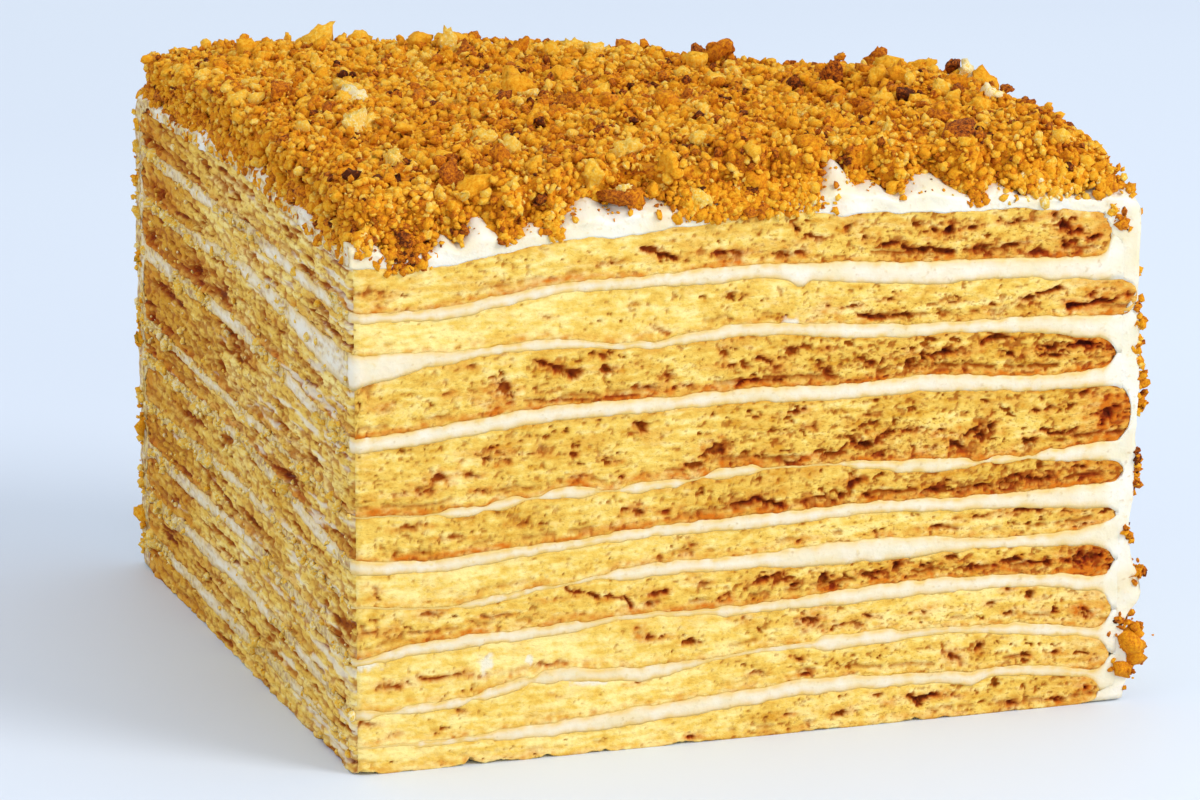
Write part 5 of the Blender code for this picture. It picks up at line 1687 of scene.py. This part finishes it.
@dataclass(frozen=True)
class WhippedSourCream:
    """Whipped sour cream: soft white with a satin skin, and light that sinks in a little.

    The fat makes it warm white, and where it meets the sponge it takes up honey.
    """

    name: str = "whipped_sour_cream"
    white: str = "#E8E2D2"
    ivory: str = "#E1D6B4"
    honey: str = "#E0B85E"
    straw: str = "#DDBE66"
    brown: str = "#A9772A"
    roughness: float = 0.42
    mottle: float = 5.0
    grain: float = 0.9
    crumb: float = 0.8

    def build(self) -> bpy.types.Material:
        """Make the material."""
        material, tree, shader = new_finish(self.name)
        coords = add(tree, "ShaderNodeTexCoord").outputs["Object"]
        drawn = add(tree, "ShaderNodeMapping", {"Vector": coords, "Scale": (1.0, 0.4, 1.2)})
        mottle = add(tree, "ShaderNodeTexNoise", {"Vector": drawn.outputs[0], "Detail": 2.0,
                                                  "Scale": per_metre(self.mottle)})
        grain = add(tree, "ShaderNodeTexNoise", {"Vector": drawn.outputs[0], "Detail": 3.0,
                                                 "Scale": per_metre(self.grain)})
        stain = add(tree, "ShaderNodeAttribute", attribute_name="stain").outputs["Fac"]
        dust = add(tree, "ShaderNodeAttribute", attribute_name="dust").outputs["Fac"]
        plain = add(tree, "ShaderNodeValToRGB", {0: mottle.outputs["Fac"]}, stops=(
            (0.4, self.white), (0.75, self.ivory)))
        soaked = add(tree, "ShaderNodeMix", {0: stain, 6: plain.outputs[0],
                                             7: linear(self.honey)}, data_type="RGBA")
        patchy = add(tree, "ShaderNodeMath", {0: dust, 1: 0.55, 2: grain.outputs["Fac"]},
                     operation="MULTIPLY_ADD")
        cover = add(tree, "ShaderNodeMapRange", {0: patchy.outputs[0], 1: 0.6, 2: 0.98, 3: 0.0,
                                                 4: 1.0})
        crumbs = add(tree, "ShaderNodeTexNoise", {"Vector": coords, "Detail": 3.0,
                                                  "Scale": per_metre(self.crumb)})
        crumbed = add(tree, "ShaderNodeValToRGB", {0: crumbs.outputs["Fac"]}, stops=(
            (0.38, self.brown), (0.58, self.straw)))
        dusted = add(tree, "ShaderNodeMix", {0: cover.outputs[0], 6: soaked.outputs[2],
                                             7: crumbed.outputs[0]}, data_type="RGBA")
        relief = add(tree, "ShaderNodeMix", {0: cover.outputs[0], 2: grain.outputs["Fac"],
                                             3: crumbs.outputs["Fac"]})
        bump = add(tree, "ShaderNodeBump", {"Height": relief.outputs[0], "Strength": 0.5,
                                            "Distance": 0.25 * MM})
        tree.links.new(dusted.outputs[2], shader.inputs["Base Color"])
        tree.links.new(bump.outputs[0], shader.inputs["Normal"])
        shader.inputs["Roughness"].default_value = self.roughness
        shader.inputs["Subsurface Weight"].default_value = 0.2
        shader.inputs["Subsurface Radius"].default_value = (1.0, 0.7, 0.4)
        shader.inputs["Subsurface Scale"].default_value = 1.2 * MM
        return material


@dataclass(frozen=True)
class ToastedCrumb:
    """Toasted sponge crumbs: matt, rough, each one its own shade from straw to burnt."""

    name: str = "toasted_sponge_crumb"
    grain: float = 0.45
    roughness: float = 0.82

    def build(self) -> bpy.types.Material:
        """Make the material."""
        material, tree, shader = new_finish(self.name)
        coords = add(tree, "ShaderNodeTexCoord").outputs["Object"]
        grain = add(tree, "ShaderNodeTexNoise", {"Vector": coords, "Detail": 4.0,
                                                 "Scale": per_metre(self.grain),
                                                 "Roughness": 0.72})
        tone = add(tree, "ShaderNodeAttribute", attribute_name="tone").outputs["Fac"]
        varied = add(tree, "ShaderNodeMath", {0: grain.outputs["Fac"], 1: 1.1, 2: tone},
                     operation="MULTIPLY_ADD")
        lifted = add(tree, "ShaderNodeMath", {0: varied.outputs[0], 1: 0.55},
                     operation="SUBTRACT")
        colour = add(tree, "ShaderNodeValToRGB", {0: lifted.outputs[0]}, stops=(
            (0.02, "#4A1F06"), (0.16, "#9C4A0C"), (0.33, "#CF780E"), (0.52, "#E79A14"),
            (0.74, "#F0B634"), (0.94, "#EFCE6A"), (1.0, "#F1DEAC")))
        bump = add(tree, "ShaderNodeBump", {"Height": grain.outputs["Fac"], "Strength": 0.8,
                                            "Distance": 0.3 * MM})
        tree.links.new(colour.outputs[0], shader.inputs["Base Color"])
        tree.links.new(bump.outputs[0], shader.inputs["Normal"])
        shader.inputs["Roughness"].default_value = self.roughness
        shader.inputs["Specular IOR Level"].default_value = 0.15
        return material


# The studio


@dataclass(frozen=True)
class Studio:
    """A pale table, soft light from the right, and the camera at the photo's angle."""

    floor_size: float = 4.0                 # metres
    floor_tint: str = "#D8E0EC"
    sky_tint: str = "#E4EBF4"
    sky_strength: float = 1.0
    key_from: tuple[float, float, float] = (0.75, -0.85, 0.85)
    key_size: float = 0.6
    key_power: float = 10.0
    fill_from: tuple[float, float, float] = (0.15, -1.2, 0.25)
    fill_size: float = 0.9
    fill_power: float = 2.5
    side_from: tuple[float, float, float] = (-1.2, -0.1, 0.45)
    side_size: float = 0.9
    side_power: float = 2.5
    lens: float = 195.0
    camera_from_tip: tuple[float, float, float] = (-229.195, -785.398, 258.676)
    look: tuple[float, float, float] = (0.30806, 0.91901, -0.24600)

    def build(self, tip: Vector) -> None:
        """Make the floor, the lights and the camera."""
        self.table()
        self.light("key", self.key_from, self.key_size, self.key_power)
        self.light("fill", self.fill_from, self.fill_size, self.fill_power)
        self.light("side", self.side_from, self.side_size, self.side_power)
        world = bpy.data.worlds.new("studio")
        world.use_nodes = True
        back = world.node_tree.nodes["Background"]
        back.inputs["Color"].default_value = linear(self.sky_tint)
        back.inputs["Strength"].default_value = self.sky_strength
        bpy.context.scene.world = world
        bpy.context.scene.view_settings.view_transform = "Standard"
        self.camera(tip)

    def table(self) -> None:
        """Make the plain pale floor."""
        shape = bmesh.new()
        bmesh.ops.create_grid(shape, x_segments=1, y_segments=1, size=0.5 * self.floor_size)
        floor = bpy.data.objects.new("table_top", mesh_of(shape, "table_top"))
        bpy.context.scene.collection.objects.link(floor)
        material, tree, shader = new_finish("pale_matt_table")
        coords = add(tree, "ShaderNodeTexCoord").outputs["Object"]
        noise = add(tree, "ShaderNodeTexNoise", {"Vector": coords, "Scale": 3.0})
        colour = add(tree, "ShaderNodeValToRGB", {0: noise.outputs["Fac"]}, stops=(
            (0.3, self.floor_tint), (0.7, "#DDE5EF")))
        tree.links.new(colour.outputs[0], shader.inputs["Base Color"])
        shader.inputs["Roughness"].default_value = 0.6
        floor.data.materials.append(material)

    def light(self, name: str, start: tuple[float, float, float], size: float,
              power: float) -> None:
        """Make one soft light that faces the cake."""
        lamp = bpy.data.lights.new(name, "AREA")
        lamp.shape = "DISK"
        lamp.size = size
        lamp.energy = power
        thing = bpy.data.objects.new(name, lamp)
        thing.location = start
        aim = Vector((0.0, 0.0, 0.04)) - Vector(start)
        thing.rotation_euler = aim.to_track_quat("-Z", "Y").to_euler()
        bpy.context.scene.collection.objects.link(thing)

    def camera(self, tip: Vector) -> None:
        """Make the camera, where the photo was taken from."""
        lens = bpy.data.cameras.new("camera")
        lens.lens = self.lens
        lens.sensor_width = 36.0
        lens.clip_start = 0.05
        thing = bpy.data.objects.new("camera", lens)
        thing.location = tip + Vector(self.camera_from_tip) * MM
        thing.rotation_euler = Vector(self.look).to_track_quat("-Z", "Y").to_euler()
        bpy.context.scene.collection.objects.link(thing)
        bpy.context.scene.camera = thing


def main() -> None:
    """Build the slice and the studio."""
    logging.basicConfig(level=logging.INFO, format="%(name)s %(message)s")
    sponge = BakedHoneySponge().build()
    cream = WhippedSourCream().build()
    crumb = ToastedCrumb().build()
    lines = LayerLines()
    ends = RimEnds()
    for number in range(1, SPONGES + 1):
        HoneySponge(number, lines, ends).build(sponge)
    for number in range(1, SPONGES):
        SourCreamLayer(number, lines, ends).build(cream)
    coat = SpreadCoat(lines, ends)
    coat.build(cream)
    CrumbTopping(lines, coat).build(crumb)
    Studio().build(lines.tip)


if __name__ == "__main__":
    main()
